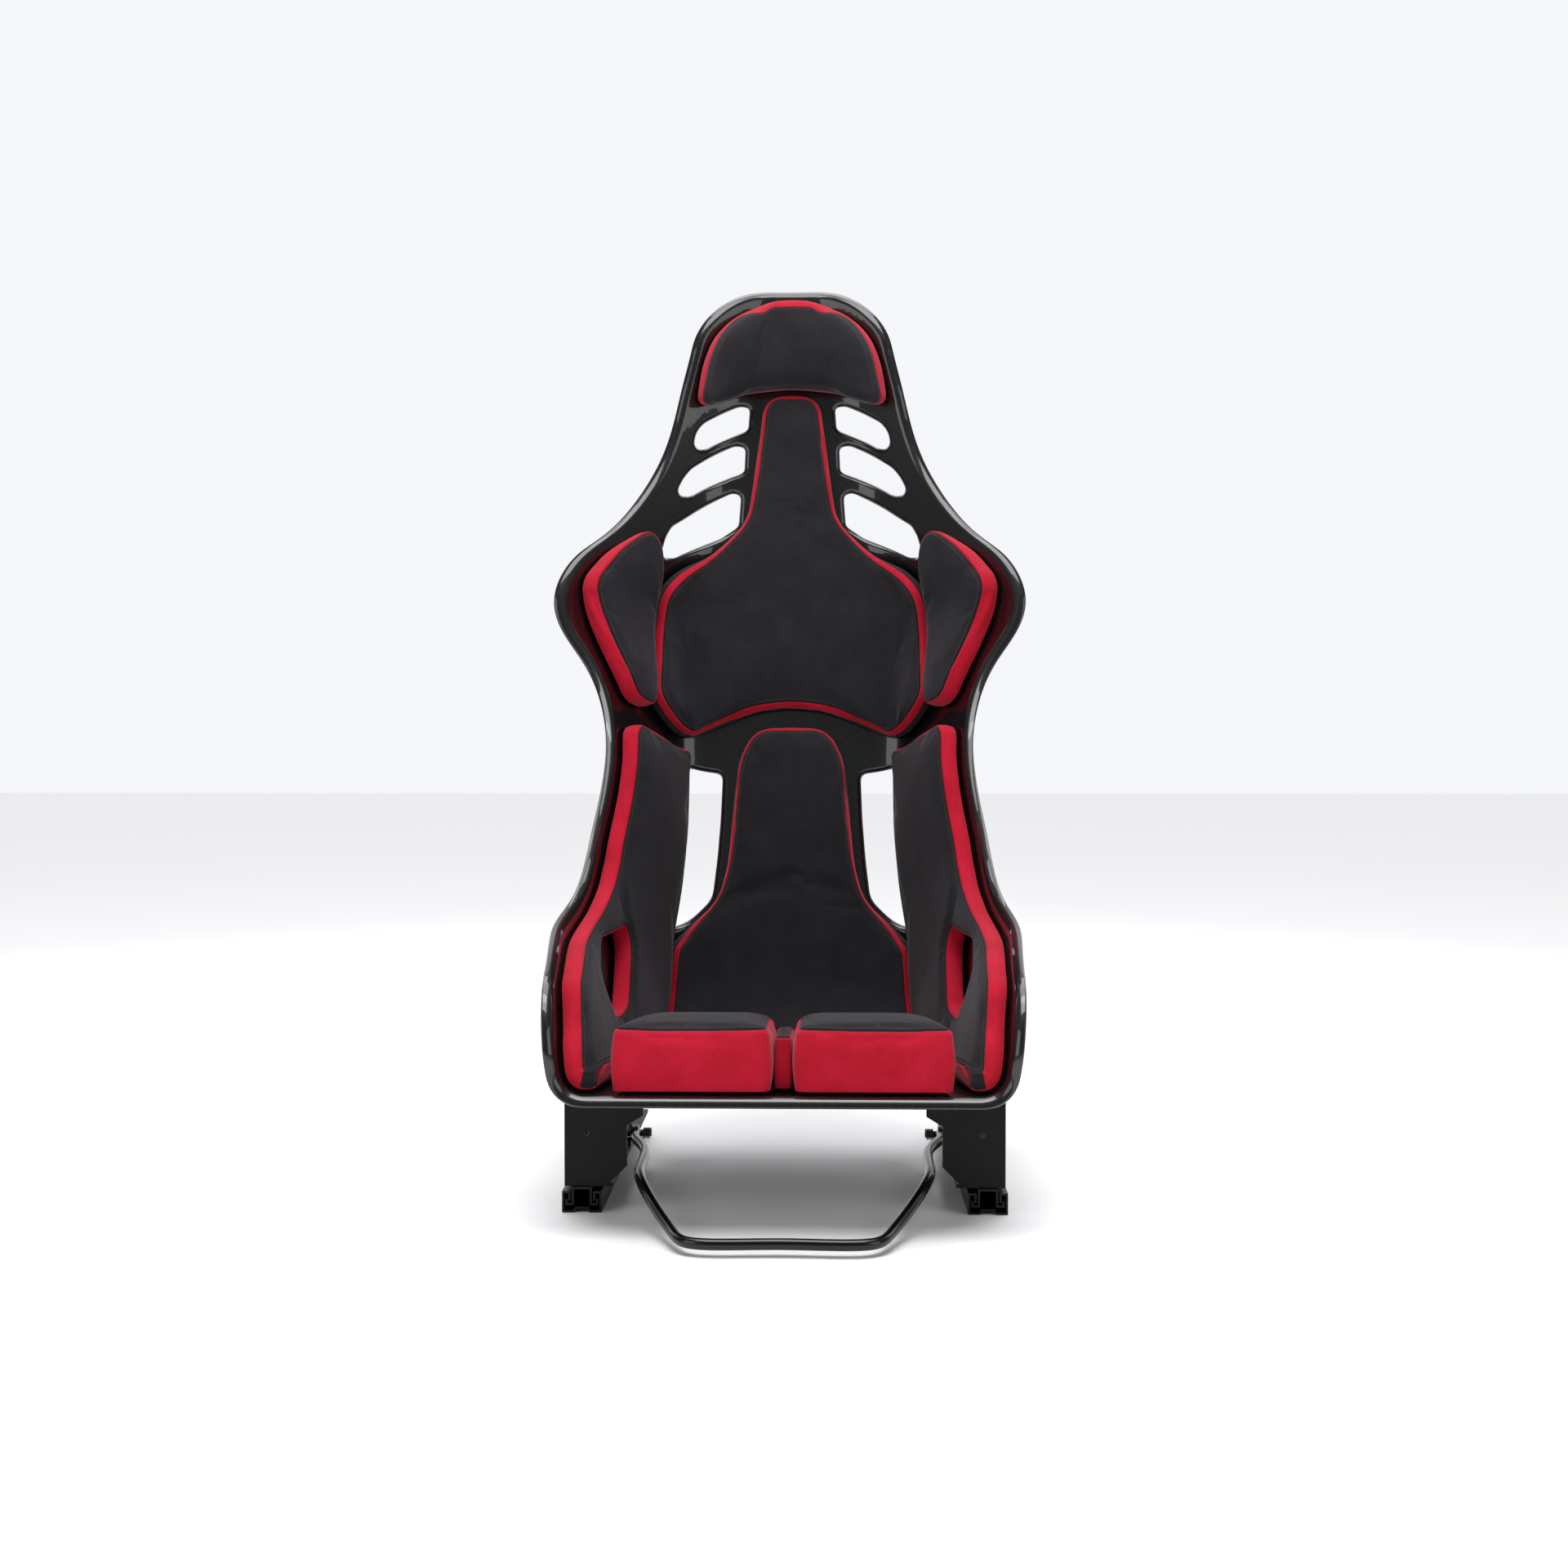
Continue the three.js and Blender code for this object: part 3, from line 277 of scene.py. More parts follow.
def frame_at(a, s, e=0.5):
    """The two directions in the sheet, per millimetre of a and of s, and the normal to the sitter."""
    across = (surface(a + e, s) - surface(a - e, s)) / (2 * e)
    forth = (surface(a, s + e) - surface(a, s - e)) / (2 * e)
    normal = np.cross(across, forth)
    return across, forth, normal / np.linalg.norm(normal, axis=-1, keepdims=True)


def in_sheet(direction, across, forth, normal):
    """A direction in (a, s) as a unit vector that lies in the sheet."""
    out = across * direction[:, :1] + forth * direction[:, 1:]
    out -= normal * (out * normal).sum(-1, keepdims=True)
    return out / np.maximum(np.linalg.norm(out, axis=-1, keepdims=True), 1e-9)


print("middle of the pan", surface(0, 300).round(1), "mm; top of the head", surface(0, LENGTH).round(1))

# %% [markdown]
# ## Regions on the loft
# A pad or a hole starts as an outline in (a, s), as a pattern cutter draws it. The region inside
# is filled with even triangles, with a few rows of points close to the edges, where a rim rolls
# or a cushion's shoulder turns. Distances to the outline then steer every height and every seam.

# %% Outlines
def rounded(corners, radius, steps=8):
    """Each corner becomes the curve (1-t)^2 p + 2t(1-t) corner + t^2 q, started radius before it."""
    corners = np.asarray(corners, float)
    ends = []
    for other in (np.roll(corners, 1, 0), np.roll(corners, -1, 0)):
        gap = other - corners
        length = np.linalg.norm(gap, axis=1, keepdims=True)
        ends.append(corners + gap * np.minimum(radius, length * 0.45) / length)
    t = np.linspace(0, 1, steps + 1)[None, :, None]
    return ((1 - t) ** 2 * ends[0][:, None] + 2 * t * (1 - t) * corners[:, None]
            + t ** 2 * ends[1][:, None]).reshape(-1, 2)


def spaced(line, step, closed=True):
    """The same line with points an even step apart, found by length run."""
    line = np.vstack([line, line[:1]]) if closed else np.asarray(line, float)
    run = np.concatenate([[0], np.cumsum(np.linalg.norm(np.diff(line, axis=0), axis=1))])
    count = max(8, int(round(run[-1] / step)))
    goal = np.arange(count + (0 if closed else 1)) * run[-1] / count
    return np.stack([np.interp(goal, run, line[:, k]) for k in range(line.shape[1])], 1)


def mirrored(line):
    """The left hand of an outline on the right."""
    return (np.asarray(line, float) * [-1, 1])[::-1]


def both_halves(half):
    """A right half that starts or ends on the middle line, closed by its mirror image."""
    other = mirrored(half)
    return np.vstack([half, other[np.abs(other[:, 0]) > 0.01]])


def area_sign(line):
    nxt = np.roll(line, -1, 0)
    return np.sign((line[:, 0] * nxt[:, 1] - nxt[:, 0] * line[:, 1]).sum())


def outward(line):
    """Unit directions out of a closed line, square to the chord between a point's neighbours."""
    d = (np.roll(line, -1, 0) - np.roll(line, 1, 0)) * area_sign(line)
    n = np.stack([d[:, 1], -d[:, 0]], 1)
    return n / np.linalg.norm(n, axis=1, keepdims=True)


def nearest(points, line):
    """Distance from each point to a closed line, the line's outward direction there, length run."""
    step = np.roll(line, -1, 0) - line
    size2, facing = (step ** 2).sum(1), outward(line)
    run = np.concatenate([[0], np.cumsum(np.sqrt(size2))])
    found = []
    for part in np.array_split(points, 1 + len(points) * len(line) // 1500000):
        rel = part[:, None] - line
        t = np.clip((rel * step).sum(-1) / size2, 0, 1)
        gap2 = ((rel - t[..., None] * step) ** 2).sum(-1)
        k = gap2.argmin(1)
        t = np.take_along_axis(t, k[:, None], 1)
        turned = facing[k] * (1 - t) + np.roll(facing, -1, 0)[k] * t
        along = run[k] + t[:, 0] * np.sqrt(size2[k])
        found.append(np.column_stack([np.sqrt(gap2.min(1)), turned, along]))
    found = np.vstack(found)
    way = found[:, 1:3] / np.linalg.norm(found[:, 1:3], axis=1, keepdims=True)
    return found[:, 0], way, found[:, 3]


def inside(points, line):
    """Even-odd rule: a ray along a crosses the line an odd number of times."""
    (x0, y0), (x1, y1) = line.T, np.roll(line, -1, 0).T
    found = []
    for part in np.array_split(points, 1 + len(points) * len(line) // 3000000):
        x, y = part[:, :1], part[:, 1:]
        rise = np.where(y1 == y0, 1, y1 - y0)
        crossed = ((y0 > y) != (y1 > y)) & (x < (x1 - x0) * (y - y0) / rise + x0)
        found.append(crossed.sum(1) % 2 == 1)
    return np.concatenate(found)


def region(outline, holes=(), step=6.0, rings=(), hole_rings=(), edge_step=None):
    """Points, triangles and edge pairs that fill an outline, less its holes, with rings of points at
    set distances from the edges and an even grid in between."""
    loops = [spaced(line, edge_step or step * 0.75) for line in (outline, *holes)]
    low, high = loops[0].min(0), loops[0].max(0)
    n = np.ceil((high - low) / step).astype(int) + 1
    grid = np.stack(np.meshgrid(np.linspace(low[0], high[0], n[0]),
                                np.linspace(low[1], high[1], n[1])), -1)
    grid = grid.reshape(-1, 2)
    clear = inside(grid, loops[0])
    parts = []
    for k, line in enumerate(loops):
        distances = rings if k == 0 else hole_rings
        clear[clear] = nearest(grid[clear], line)[0] > (max(distances, default=0) + step * 0.6)
        if k:
            clear &= ~inside(grid, line)
        for d in distances:
            ring = line - outward(line) * (d if k == 0 else -d)
            good = inside(ring, line) == (k == 0)
            good[good] = nearest(ring[good], line)[0] > d * 0.97
            parts.append(ring[good])
    sizes = np.cumsum([0] + [len(line) for line in loops])
    edges = np.vstack([np.column_stack([np.arange(len(line)), np.roll(np.arange(len(line)), -1)]) + start
                       for line, start in zip(loops, sizes)])
    points = np.vstack(loops + parts + [grid[clear]])
    found = delaunay_2d_cdt([Vector(p) for p in points.tolist()], edges.tolist(), [], 0, 1e-4)
    points, tris = np.array([v[:] for v in found[0]]), np.array(found[2])
    middle = points[tris].mean(1)
    keep = inside(middle, loops[0])
    for line in loops[1:]:
        keep &= ~inside(middle, line)
    tris = tris[keep]
    used, tris = np.unique(tris, return_inverse=True)
    points, tris = points[used], tris.reshape(-1, 3)
    p, q, r = (points[tris[:, k]] for k in range(3))
    turned = (q[:, 0] - p[:, 0]) * (r[:, 1] - p[:, 1]) < (q[:, 1] - p[:, 1]) * (r[:, 0] - p[:, 0])
    tris[turned] = tris[turned][:, ::-1]
    pairs = np.vstack([tris[:, [0, 1]], tris[:, [1, 2]], tris[:, [2, 0]]])
    code, back = pairs[:, 0] * len(points) + pairs[:, 1], pairs[:, 1] * len(points) + pairs[:, 0]
    return points, tris, pairs[~np.isin(code, back)], loops


def stitched(tris, rim, count, rows):
    """Faces of two skins and the strip that joins their edges: skin one is points 0..count, skin two
    the next count, and rows extra rows of rim points follow."""
    edge = np.unique(rim)
    place = np.zeros(count, int)
    place[edge] = np.arange(len(edge))
    strip = [rim] + [2 * count + k * len(edge) + place[rim] for k in range(rows)] + [rim + count]
    quads = [np.column_stack([a[:, 1], a[:, 0], b[:, 0], b[:, 1]]) for a, b in zip(strip, strip[1:])]
    return edge, [tris, tris[:, ::-1] + count, *quads]


print("a 40 mm square fills with",
      len(region(np.array([[0, 0], [40, 0], [40, 40], [0, 40.]]))[1]), "triangles")

# %% [markdown]
# ## Clear-coated carbon twill
# The shell is woven carbon cloth, two over and two under, soaked in epoxy and lacquered. The eye
# gets two layers from it: a dark weave whose threads catch the light a little differently, and a
# clear coat on top that mirrors the room like a piano lid. The weave follows the sheet's own
# (a, s), not the room's axes, because cloth is laid along the mould.

# %% Carbon material
TOW = 3.0  # mm between threads: real tows are 2 mm, drawn coarser so that they show at all
carbon, tree, shader = finish("lacquered_carbon_twill")
cloth_place = add(tree, "UVMap", uv_map="cloth").outputs["UV"]
tows = add(tree, "VectorMath", {0: cloth_place, 3: 1000 / TOW}, operation="SCALE").outputs["Vector"]
tow = add(tree, "SeparateXYZ", {0: tows})
column, row = (sums(tree, "FLOOR", tow.outputs[k]) for k in (0, 1))
over = sums(tree, "LESS_THAN", sums(tree, "FLOORED_MODULO", sums(tree, "ADD", column, row), 4.0), 1.9)
hump_u, hump_v = (sums(tree, "PINGPONG", tow.outputs[k], 0.5) for k in (0, 1))
hump = add(tree, "Mix", {"Factor": over, "A": hump_u, "B": hump_v}, data_type="FLOAT").outputs["Result"]
shade = add(tree, "Mix", {"Factor": over, "A": linear("#020203"), "B": linear("#090a0d")},
            data_type="RGBA")
shader.inputs["Base Color"].default_value = linear("#08080a")
tree.links.new(shade.outputs["Result"], shader.inputs["Base Color"])
thread_bump = add(tree, "Bump", {"Strength": 0.35, "Distance": 0.0002, "Height": hump})
tree.links.new(thread_bump.outputs["Normal"], shader.inputs["Normal"])
shader.inputs["Roughness"].default_value = 0.38  # threads under resin
shader.inputs["IOR"].default_value = 1.5         # epoxy
shader.inputs["Specular IOR Level"].default_value = 0.25
shader.inputs["Coat Weight"].default_value = 1.0
shader.inputs["Coat Roughness"].default_value = 0.035
orange_peel = add(tree, "TexNoise", {"Vector": add(tree, "TexCoord").outputs["Object"], "Scale": 70.0,
                                     "Detail": 1.0})
lacquer = add(tree, "Bump", {"Strength": 0.25, "Distance": 0.0003,
                             "Height": orange_peel.outputs["Fac"]})
tree.links.new(lacquer.outputs["Normal"], shader.inputs["Coat Normal"])
print("threads every", TOW, "mm, one repeat", 4 * TOW, "mm")

# %% [markdown]
# ## The shell
# A thin laminate with its edge rolled back, away from the sitter, for stiffness and so that it
# doesn't cut. It could be a thickened plane, but then every hole's lip would be sharp. Here the
# sheet's middle surface turns over near each edge, by 10 mm round the rim and less round a hole,
# two skins stand 2 mm to each side of it, and a half-round strip closes the cut edge.

# %% Shell outline and openings
SHELL_T = 4.0
FRONT_CORNER, HEAD_CORNER = 55.0, (105.0, 75.0)
VENTS = [
    [[58, 1304], [70, 1306], [126, 1284], [136, 1274], [140, 1258], [132, 1250], [119, 1250], [60, 1273]],
    [[64, 1249], [76, 1252], [144, 1225], [157, 1213], [166, 1198], [162, 1190], [146, 1186], [65, 1215]],
    [[70, 1183], [80, 1187], [176, 1144], [187, 1127], [194, 1104], [188, 1094], [168, 1094], [96, 1124],
     [73, 1140]]]
LUMBAR_OPENING = [[95, 800], [138, 806], [147, 730], [158, 672], [169, 612], [172, 574], [136, 604],
                  [108, 635], [102, 688], [98, 741]]
BELT_SLOT = [[360, 280], [356, 335], [326, 318], [278, 280], [276, 252], [326, 238]]


def corner_drop(f, half, width, depth):
    """A quarter ellipse: depth times 1 - sqrt(1 - e^2), where e runs 0 to 1 over the last width mm."""
    e = np.clip((np.abs(f) - 1) * half / width + 1, 0, 1)
    return depth * (1 - np.sqrt(1 - e ** 2))


def rim_point(f, v):
    """Place (a, s) at share f from the middle to the rim and share v from front edge to head edge."""
    front = corner_drop(f, rim_at(0.0), FRONT_CORNER, FRONT_CORNER)
    head = LENGTH - corner_drop(f, rim_at(LENGTH), *HEAD_CORNER)
    s = front + (head - front) * v
    return np.column_stack([f * rim_at(s), s])


u = np.linspace(0, 1, 400, endpoint=False)
one = np.ones(400)
shell_outline = np.vstack([rim_point(one, u), rim_point(1 - 2 * u, one), rim_point(-one, 1 - u),
                           rim_point(2 * u - 1, 0 * one)])
LIP, VENT_LIP = 5.0, 2.0  # mm that an opening is let out, because its rolled lip hides part of it
def let_out(corners, d):
    """The corners moved outwards by d mm, square to the chord between their neighbours."""
    corners = np.asarray(corners, float)
    return corners + outward(corners) * d


hole_shapes = [*(rounded(let_out(vent, VENT_LIP), 7) for vent in VENTS),
               rounded(let_out(LUMBAR_OPENING, LIP), 12), rounded(let_out(BELT_SLOT, LIP), 16)]
shell_holes = [line for shape in hole_shapes for line in (shape, mirrored(shape))]
place, tris, rim_pairs, loops = region(shell_outline, shell_holes, step=6.5, edge_step=4.5,
                                       rings=(1.0, 2.2, 3.6, 5.4, 7.6, 10.2), hole_rings=(0.8, 1.9, 3.4, 5.2))
print("shell sheet:", len(place), "points,", len(tris), "triangles,", len(shell_holes), "openings")

# %% Roll the edges and give the sheet its two skins
def rolled_sheet(place, loops, radii, turns):
    """Near each loop the sheet turns by an angle whose sine is sin(turn) - distance / radius, and
    sinks by radius times 1 - cos of it. Returns place, facing and the way out of the sheet, in mm.
    """
    across, forth, normal = frame_at(place[:, 0], place[:, 1])
    sine, depth, way = np.zeros(len(place)), np.zeros(len(place)), np.zeros((len(place), 2))
    for k, line in enumerate(loops):
        far, out, _ = nearest(place, line)
        here = np.maximum(0, math.sin(math.radians(turns[k])) - far / radii[k])
        closer = here > sine
        sine, depth = np.where(closer, here, sine), np.where(closer, radii[k], depth)
        way[closer] = (out if k == 0 else -out)[closer]
    out = in_sheet(way, across, forth, normal)
    cosine = np.sqrt(1 - sine ** 2)
    middle = surface(place[:, 0], place[:, 1]) - normal * (depth * (1 - cosine))[:, None]
    facing = normal * cosine[:, None] + out * sine[:, None]
    return middle, facing, out * cosine[:, None] - normal * sine[:, None]


def two_skins(middle, facing, out, tris, rim, thick, steps=5):
    """Skins half the thickness to each side, and a half circle of rim points between them."""
    turn = np.linspace(0, math.pi, steps + 2)[1:-1, None, None]
    edge, faces = stitched(tris, rim, len(middle), steps)
    rows = facing[edge] * np.cos(turn) + out[edge] * np.sin(turn)
    points = np.vstack([middle + facing * thick / 2, middle - facing * thick / 2,
                        (middle[edge] + rows * thick / 2).reshape(-1, 3)])
    return points, faces, np.vstack([facing, -facing, rows.reshape(-1, 3)]), edge, steps


RIM_ROLL, HOLE_ROLL = (10.0, 78.0), (6.0, 62.0)  # mm of radius and degrees of turn
radii, turns = zip(RIM_ROLL, *[HOLE_ROLL] * len(shell_holes))
middle, facing, out = rolled_sheet(place, loops, radii, turns)
points, faces, normals, edge, steps = two_skins(middle, facing, out, tris, rim_pairs, SHELL_T)
uv = np.vstack([place, place, np.tile(place[edge], (steps, 1))]) / 1000
shell = mesh_object("carbon_shell", points / 1000, faces, carbon, uv=uv, normals=normals)
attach(shell, "seat")
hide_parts("seat_shell")
print("shell:", len(shell.data.polygons), "faces, box", np.ptp(points, axis=0).round(1), "mm")

# %% [markdown]
# ## Pad cloth
# The pads wear two cloths: a charcoal microsuede on the faces, short-napped and nearly without
# gloss, and a crimson one as the boxing strip round their sides. Each pad carries a number at
# every point, called band: millimetres into the crimson side of the seam. One material serves all
# pads: where band is above zero it is crimson, and at zero it sinks into a stitched seam, whose
# groove also gets painted shade, a darker colour. The nap catches light at grazing angles, which
# is what the sheen layer is for.

# %% Pad cloth material
NAP = 0.9   # mm, one tuft of the suede's nap
STITCH = 4  # mm from one stitch to the next
suede, tree, shader = finish("microsuede_charcoal_and_crimson")
band = add(tree, "Attribute", attribute_name="band").outputs["Fac"]
run = add(tree, "Attribute", attribute_name="run").outputs["Fac"]
where = add(tree, "TexCoord").outputs["Object"]
nap = add(tree, "TexNoise", {"Vector": where, "Scale": 1000 / NAP / 2, "Detail": 2.0}).outputs["Fac"]
brushed = add(tree, "TexNoise", {"Vector": where, "Scale": 22.0, "Detail": 3.0,
                                 "Roughness": 0.6}).outputs["Fac"]
soft = add(tree, "TexNoise", {"Vector": where, "Scale": 9.0, "Detail": 1.0}).outputs["Fac"]
mottled = add(tree, "MapRange", {"Value": brushed, "From Min": 0.3, "From Max": 0.7}).outputs["Result"]
charcoal = add(tree, "Mix", {"Factor": mottled, "A": linear("#1d1b1e"), "B": linear("#272529")},
               data_type="RGBA").outputs["Result"]
crimson = add(tree, "Mix", {"Factor": mottled, "A": linear("#b40b24"), "B": linear("#c81434")},
              data_type="RGBA").outputs["Result"]
is_red = add(tree, "MapRange", {"Value": band, "From Min": -0.25, "From Max": 0.25}).outputs["Result"]
two_tone = add(tree, "Mix", {"Factor": is_red, "A": charcoal, "B": crimson},
               data_type="RGBA").outputs["Result"]
seam = add(tree, "MapRange", {"Value": sums(tree, "ABSOLUTE", band), "From Min": 0.0,
                              "From Max": 1.3, "To Min": 1.0, "To Max": 0.0},
           interpolation_type="SMOOTHSTEP").outputs["Result"]
line = sums(tree, "LESS_THAN", sums(tree, "ABSOLUTE", sums(tree, "ADD", band, 3.2)), 0.45)
dash = sums(tree, "LESS_THAN", sums(tree, "FRACT", sums(tree, "DIVIDE", run, float(STITCH))), 0.66)
stitch = sums(tree, "MULTIPLY", line, dash)
# Painted shade: the seam's groove is darkened up to 70% towards near-black #0c0506, on top of the groove the
# bump makes.
seam_painted_shade = add(tree, "Mix", {"Factor": sums(tree, "MULTIPLY", seam, 0.7), "A": two_tone,
                            "B": linear("#0c0506")}, data_type="RGBA").outputs["Result"]
tufted = add(tree, "Mix", {"Factor": sums(tree, "MULTIPLY", nap, 0.3), "A": seam_painted_shade, "B": linear("#000000")},
             data_type="RGBA").outputs["Result"]
threaded = add(tree, "Mix", {"Factor": sums(tree, "MULTIPLY", stitch, 0.5), "A": tufted,
                             "B": linear("#4a4649")}, data_type="RGBA").outputs["Result"]
tree.links.new(threaded, shader.inputs["Base Color"])
height = sums(tree, "ADD", sums(tree, "MULTIPLY", nap, 0.16), sums(tree, "MULTIPLY", soft, 1.6))
height = sums(tree, "ADD", height, sums(tree, "MULTIPLY", brushed, 0.35))
height = sums(tree, "ADD", height, sums(tree, "MULTIPLY", stitch, 0.35))
height = sums(tree, "SUBTRACT", height, sums(tree, "MULTIPLY", seam, 1.1))
cloth_bump = add(tree, "Bump", {"Strength": 0.7, "Distance": 0.001, "Height": height})
tree.links.new(cloth_bump.outputs["Normal"], shader.inputs["Normal"])
shader.inputs["Roughness"].default_value = 0.92
shader.inputs["IOR"].default_value = 1.45
shader.inputs["Specular IOR Level"].default_value = 0.25
shader.inputs["Sheen Weight"].default_value = 0.14
shader.inputs["Sheen Roughness"].default_value = 0.45
shader.inputs["Sheen Tint"].default_value = linear("#efe6ee")
print("nap", NAP, "mm, stitches every", STITCH, "mm")

# %% [markdown]
# ## How a pad is shaped
# A glued pad has a flat back on the shell, an upright side, a rounded shoulder and a crowned
# face. Its height over the sheet is worked out from the distance to its outline. Then a cloth
# run blows it up a little, as foam does to a tight cover: its back is held, and no point may
# move further than a few millimetres.

# %% Pad shape
PAD_GAP = SHELL_T / 2 + 4.0  # from the sheet's middle to the back of a pad


def pad_height(far, deepest, thick, edge, crown):
    """The shoulder is a quarter of an ellipse over edge mm, then a parabola lifts the middle."""
    t = np.clip(far / edge, 0, 1)
    shoulder = thick - 0.8 * edge * (1 - np.sqrt(1 - (1 - t) ** 2))
    return shoulder + crown * (1 - (1 - np.clip(far / deepest, 0, 1)) ** 2)


def pad_arrays(outline, thick, edge=8.0, crown=3.0, holes=(), step=5.0, upright=False, bulge=1.2,
               seam=1.5, rows=5, piping=None):
    """Top skin at pad_height over the sheet, back skin at 0, and rows of side points between that
    bulge by a half sine. The seam lies seam mm in from the edge, or that far down the side if it is
    negative, and pulls the skin in by 1.2 exp(-(band / 1.2)^2) mm; a function gives it from place
    and outward direction. Past piping mm, where it is given, the side is charcoal again."""
    near_seam = [1.5]
    if not callable(seam) and seam > 1.8:
        near_seam = [seam + k for k in (-1.6, -0.7, 0, 0.7, 1.6)]
    rings = (0.15, 0.5, edge * 0.35, edge * 0.8, edge * 1.25, edge * 1.6, *near_seam)
    flat_points, tris, rim, loops = region(outline, holes, step=step, rings=sorted(set(rings)),
                                           hole_rings=(0.3, 1.2, 3.0, edge), edge_step=step * 0.8)
    across, forth, normal = frame_at(flat_points[:, 0], flat_points[:, 1])
    far, way, run = nearest(flat_points, loops[0])
    for line in loops[1:]:
        far_hole, way_hole, run_hole = nearest(flat_points, line)
        closer = far_hole < far
        far, run = np.where(closer, far_hole, far), np.where(closer, run_hole, run)
        way = np.where(closer[:, None], -way_hole, way)
    out = in_sheet(way, across, forth, normal)
    up = np.array([[0, 0, 1.0]]) if upright else normal
    base = surface(flat_points[:, 0], flat_points[:, 1]) + normal * PAD_GAP
    deepest = far.max()
    height = pad_height(far, deepest, thick, edge, crown)
    edge_points, faces = stitched(tris, rim, len(flat_points), rows)
    share = (np.arange(1, rows + 1) / (rows + 1))[:, None, None]
    side_top = height[edge_points][None, :, None]
    up_edge = up if upright else up[edge_points]
    side = (base[edge_points] + up_edge * side_top * (1 - share)
            + out[edge_points] * bulge * np.sin(math.pi * share))
    points = np.vstack([base + up * height[:, None], base, side.reshape(-1, 3)])
    depth = (side_top * share + 0 * share)[..., 0]
    seam_at = seam(flat_points, way) if callable(seam) else seam + 0 * far
    face_band = seam_at - far
    if near_seam != [1.5]:
        points[:len(far)] -= up * (1.2 * np.exp(-(face_band / 1.2) ** 2))[:, None]
    band = np.concatenate([face_band, 50 + 0 * far, (seam_at[edge_points] + depth).ravel()])
    if piping:
        band = np.minimum(band, piping - band)
    runs = np.concatenate([run, run, np.tile(run[edge_points], rows)])
    uv = np.vstack([flat_points, flat_points, np.tile(flat_points[edge_points], (rows, 1))]) / 1000
    held = np.concatenate([0 * far, 0 * far + 1, np.zeros(rows * len(edge_points))])
    return dict(points=points, faces=faces, uv=uv, band=band, run=runs, held=held, loops=loops,
                top=len(flat_points), place=flat_points)


print("a shoulder 8 mm wide, 20 mm up:", pad_height(np.array([0, 2, 4, 8, 60.]), 60, 20, 8, 3).round(1))

# %% Cloth run
def puffed(points, faces, held, cap, pressure=4.0):
    """Blender's cloth on the closed pad with pressure inside, no gravity and its back held, for 20
    frames; each point then moves at most cap mm, by move * cap / max(cap, length of move)."""
    trial = mesh_object("cloth_trial", points / 1000, faces, suede)
    group = trial.vertex_groups.new(name="held")
    group.add(np.flatnonzero(held > 0.5).tolist(), 1.0, "REPLACE")
    cloth = trial.modifiers.new("cloth", "CLOTH")
    settings = cloth.settings
    settings.quality, settings.mass = 6, 0.25
    settings.tension_stiffness = settings.compression_stiffness = 22
    settings.shear_stiffness, settings.bending_stiffness = 8, 1.2
    settings.vertex_group_mass = "held"
    settings.use_pressure, settings.uniform_pressure_force = True, pressure
    settings.effector_weights.gravity = 0
    cloth.point_cache.frame_start, cloth.point_cache.frame_end = 1, 20
    scene = bpy.context.scene
    for frame_number in range(1, 21):
        scene.frame_set(frame_number)
    shown = trial.evaluated_get(bpy.context.evaluated_depsgraph_get())
    moved = np.zeros(len(points) * 3, np.float32)
    shown.data.vertices.foreach_get("co", moved)
    scene.frame_set(1)
    bpy.data.objects.remove(trial)
    move = moved.reshape(-1, 3) * 1000.0 - points
    length = np.linalg.norm(move, axis=1, keepdims=True)
    return points + move * cap / np.maximum(cap, length)


def fit_pad(name, node, shape, cap=3.0, body="seat"):
    """Runs the cloth, makes the mesh and says what the pad is; names ending in _right get a left twin,
    mirrored point by point with its faces turned back."""
    shape["still"] = shape["points"]
    shape["points"] = puffed(shape["points"], shape["faces"], shape["held"], cap)
    made = []
    for hand, sign in (("right", 1), ("left", -1)) if name.endswith("_right") else (("", 1),):
        title = name.replace("_right", "_" + hand) if hand else name
        faces = shape["faces"] if sign > 0 else [f[:, ::-1] for f in shape["faces"]]
        piece = mesh_object(title, shape["points"] * [sign, 1, 1] / 1000, faces, suede, uv=shape["uv"],
                            marks={"band": shape["band"], "run": shape["run"]})
        soften = piece.modifiers.new("finer", "SUBSURF")
        soften.levels = soften.render_levels = 1
        soften.use_limit_surface = False  # the limit surface of a free mesh takes gigabytes
        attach(piece, body)
        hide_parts(node.replace("_right", "_" + hand) if hand else node)
        made.append(piece)
    low, high = shape["points"].min(0), shape["points"].max(0)
    print(name, len(shape["points"]), "points, box", low.round(), high.round(), "mm")
    return made


# %% [markdown]
# ## Head, back and seat pads
# The pads down the middle are mirror images of themselves, so only their right halves are drawn.
# The head pad is the thickest. The back pad has a narrow neck between the vents and flares under
# them to the shoulders. The seat pad runs from the small of the back to the front, between the
# side openings.

# %% Middle pads
HEAD_PAD = [[0, 1441], [28, 1440], [54, 1436], [78, 1428], [101, 1414], [120, 1393], [134, 1360],
            [143, 1306], [72, 1320], [0, 1327]]
BACK_PAD = [[36, 1314], [52, 1187], [60, 1140], [106, 1100], [172, 1078], [204, 1047], [220, 955],
            [240, 878], [205, 852], [146, 843], [103, 860], [52, 885], [0, 891]]
SEAT_PAD = [[0, 860], [47, 859], [70, 818], [82, 676], [96, 627], [135, 594], [192, 528], [182, 436],
            [176, 330], [166, 190], [0, 190]]


def head_seam(place, way):
    """Up is the sine of a point's angle about the pad's middle, with the pad's height stretched to its
    width: the crimson shows 12 mm of itself on the face where up is 1, starts 9 mm down the side
    where it is 0, and 15 mm down underneath."""
    up = np.sin(np.arctan2((place[:, 1] - 1370) / 62, np.abs(place[:, 0]) / 140))
    return -9 + 21 * smooth((up - 0.76) / 0.24) - 6 * smooth((-up - 0.35) / 0.5)


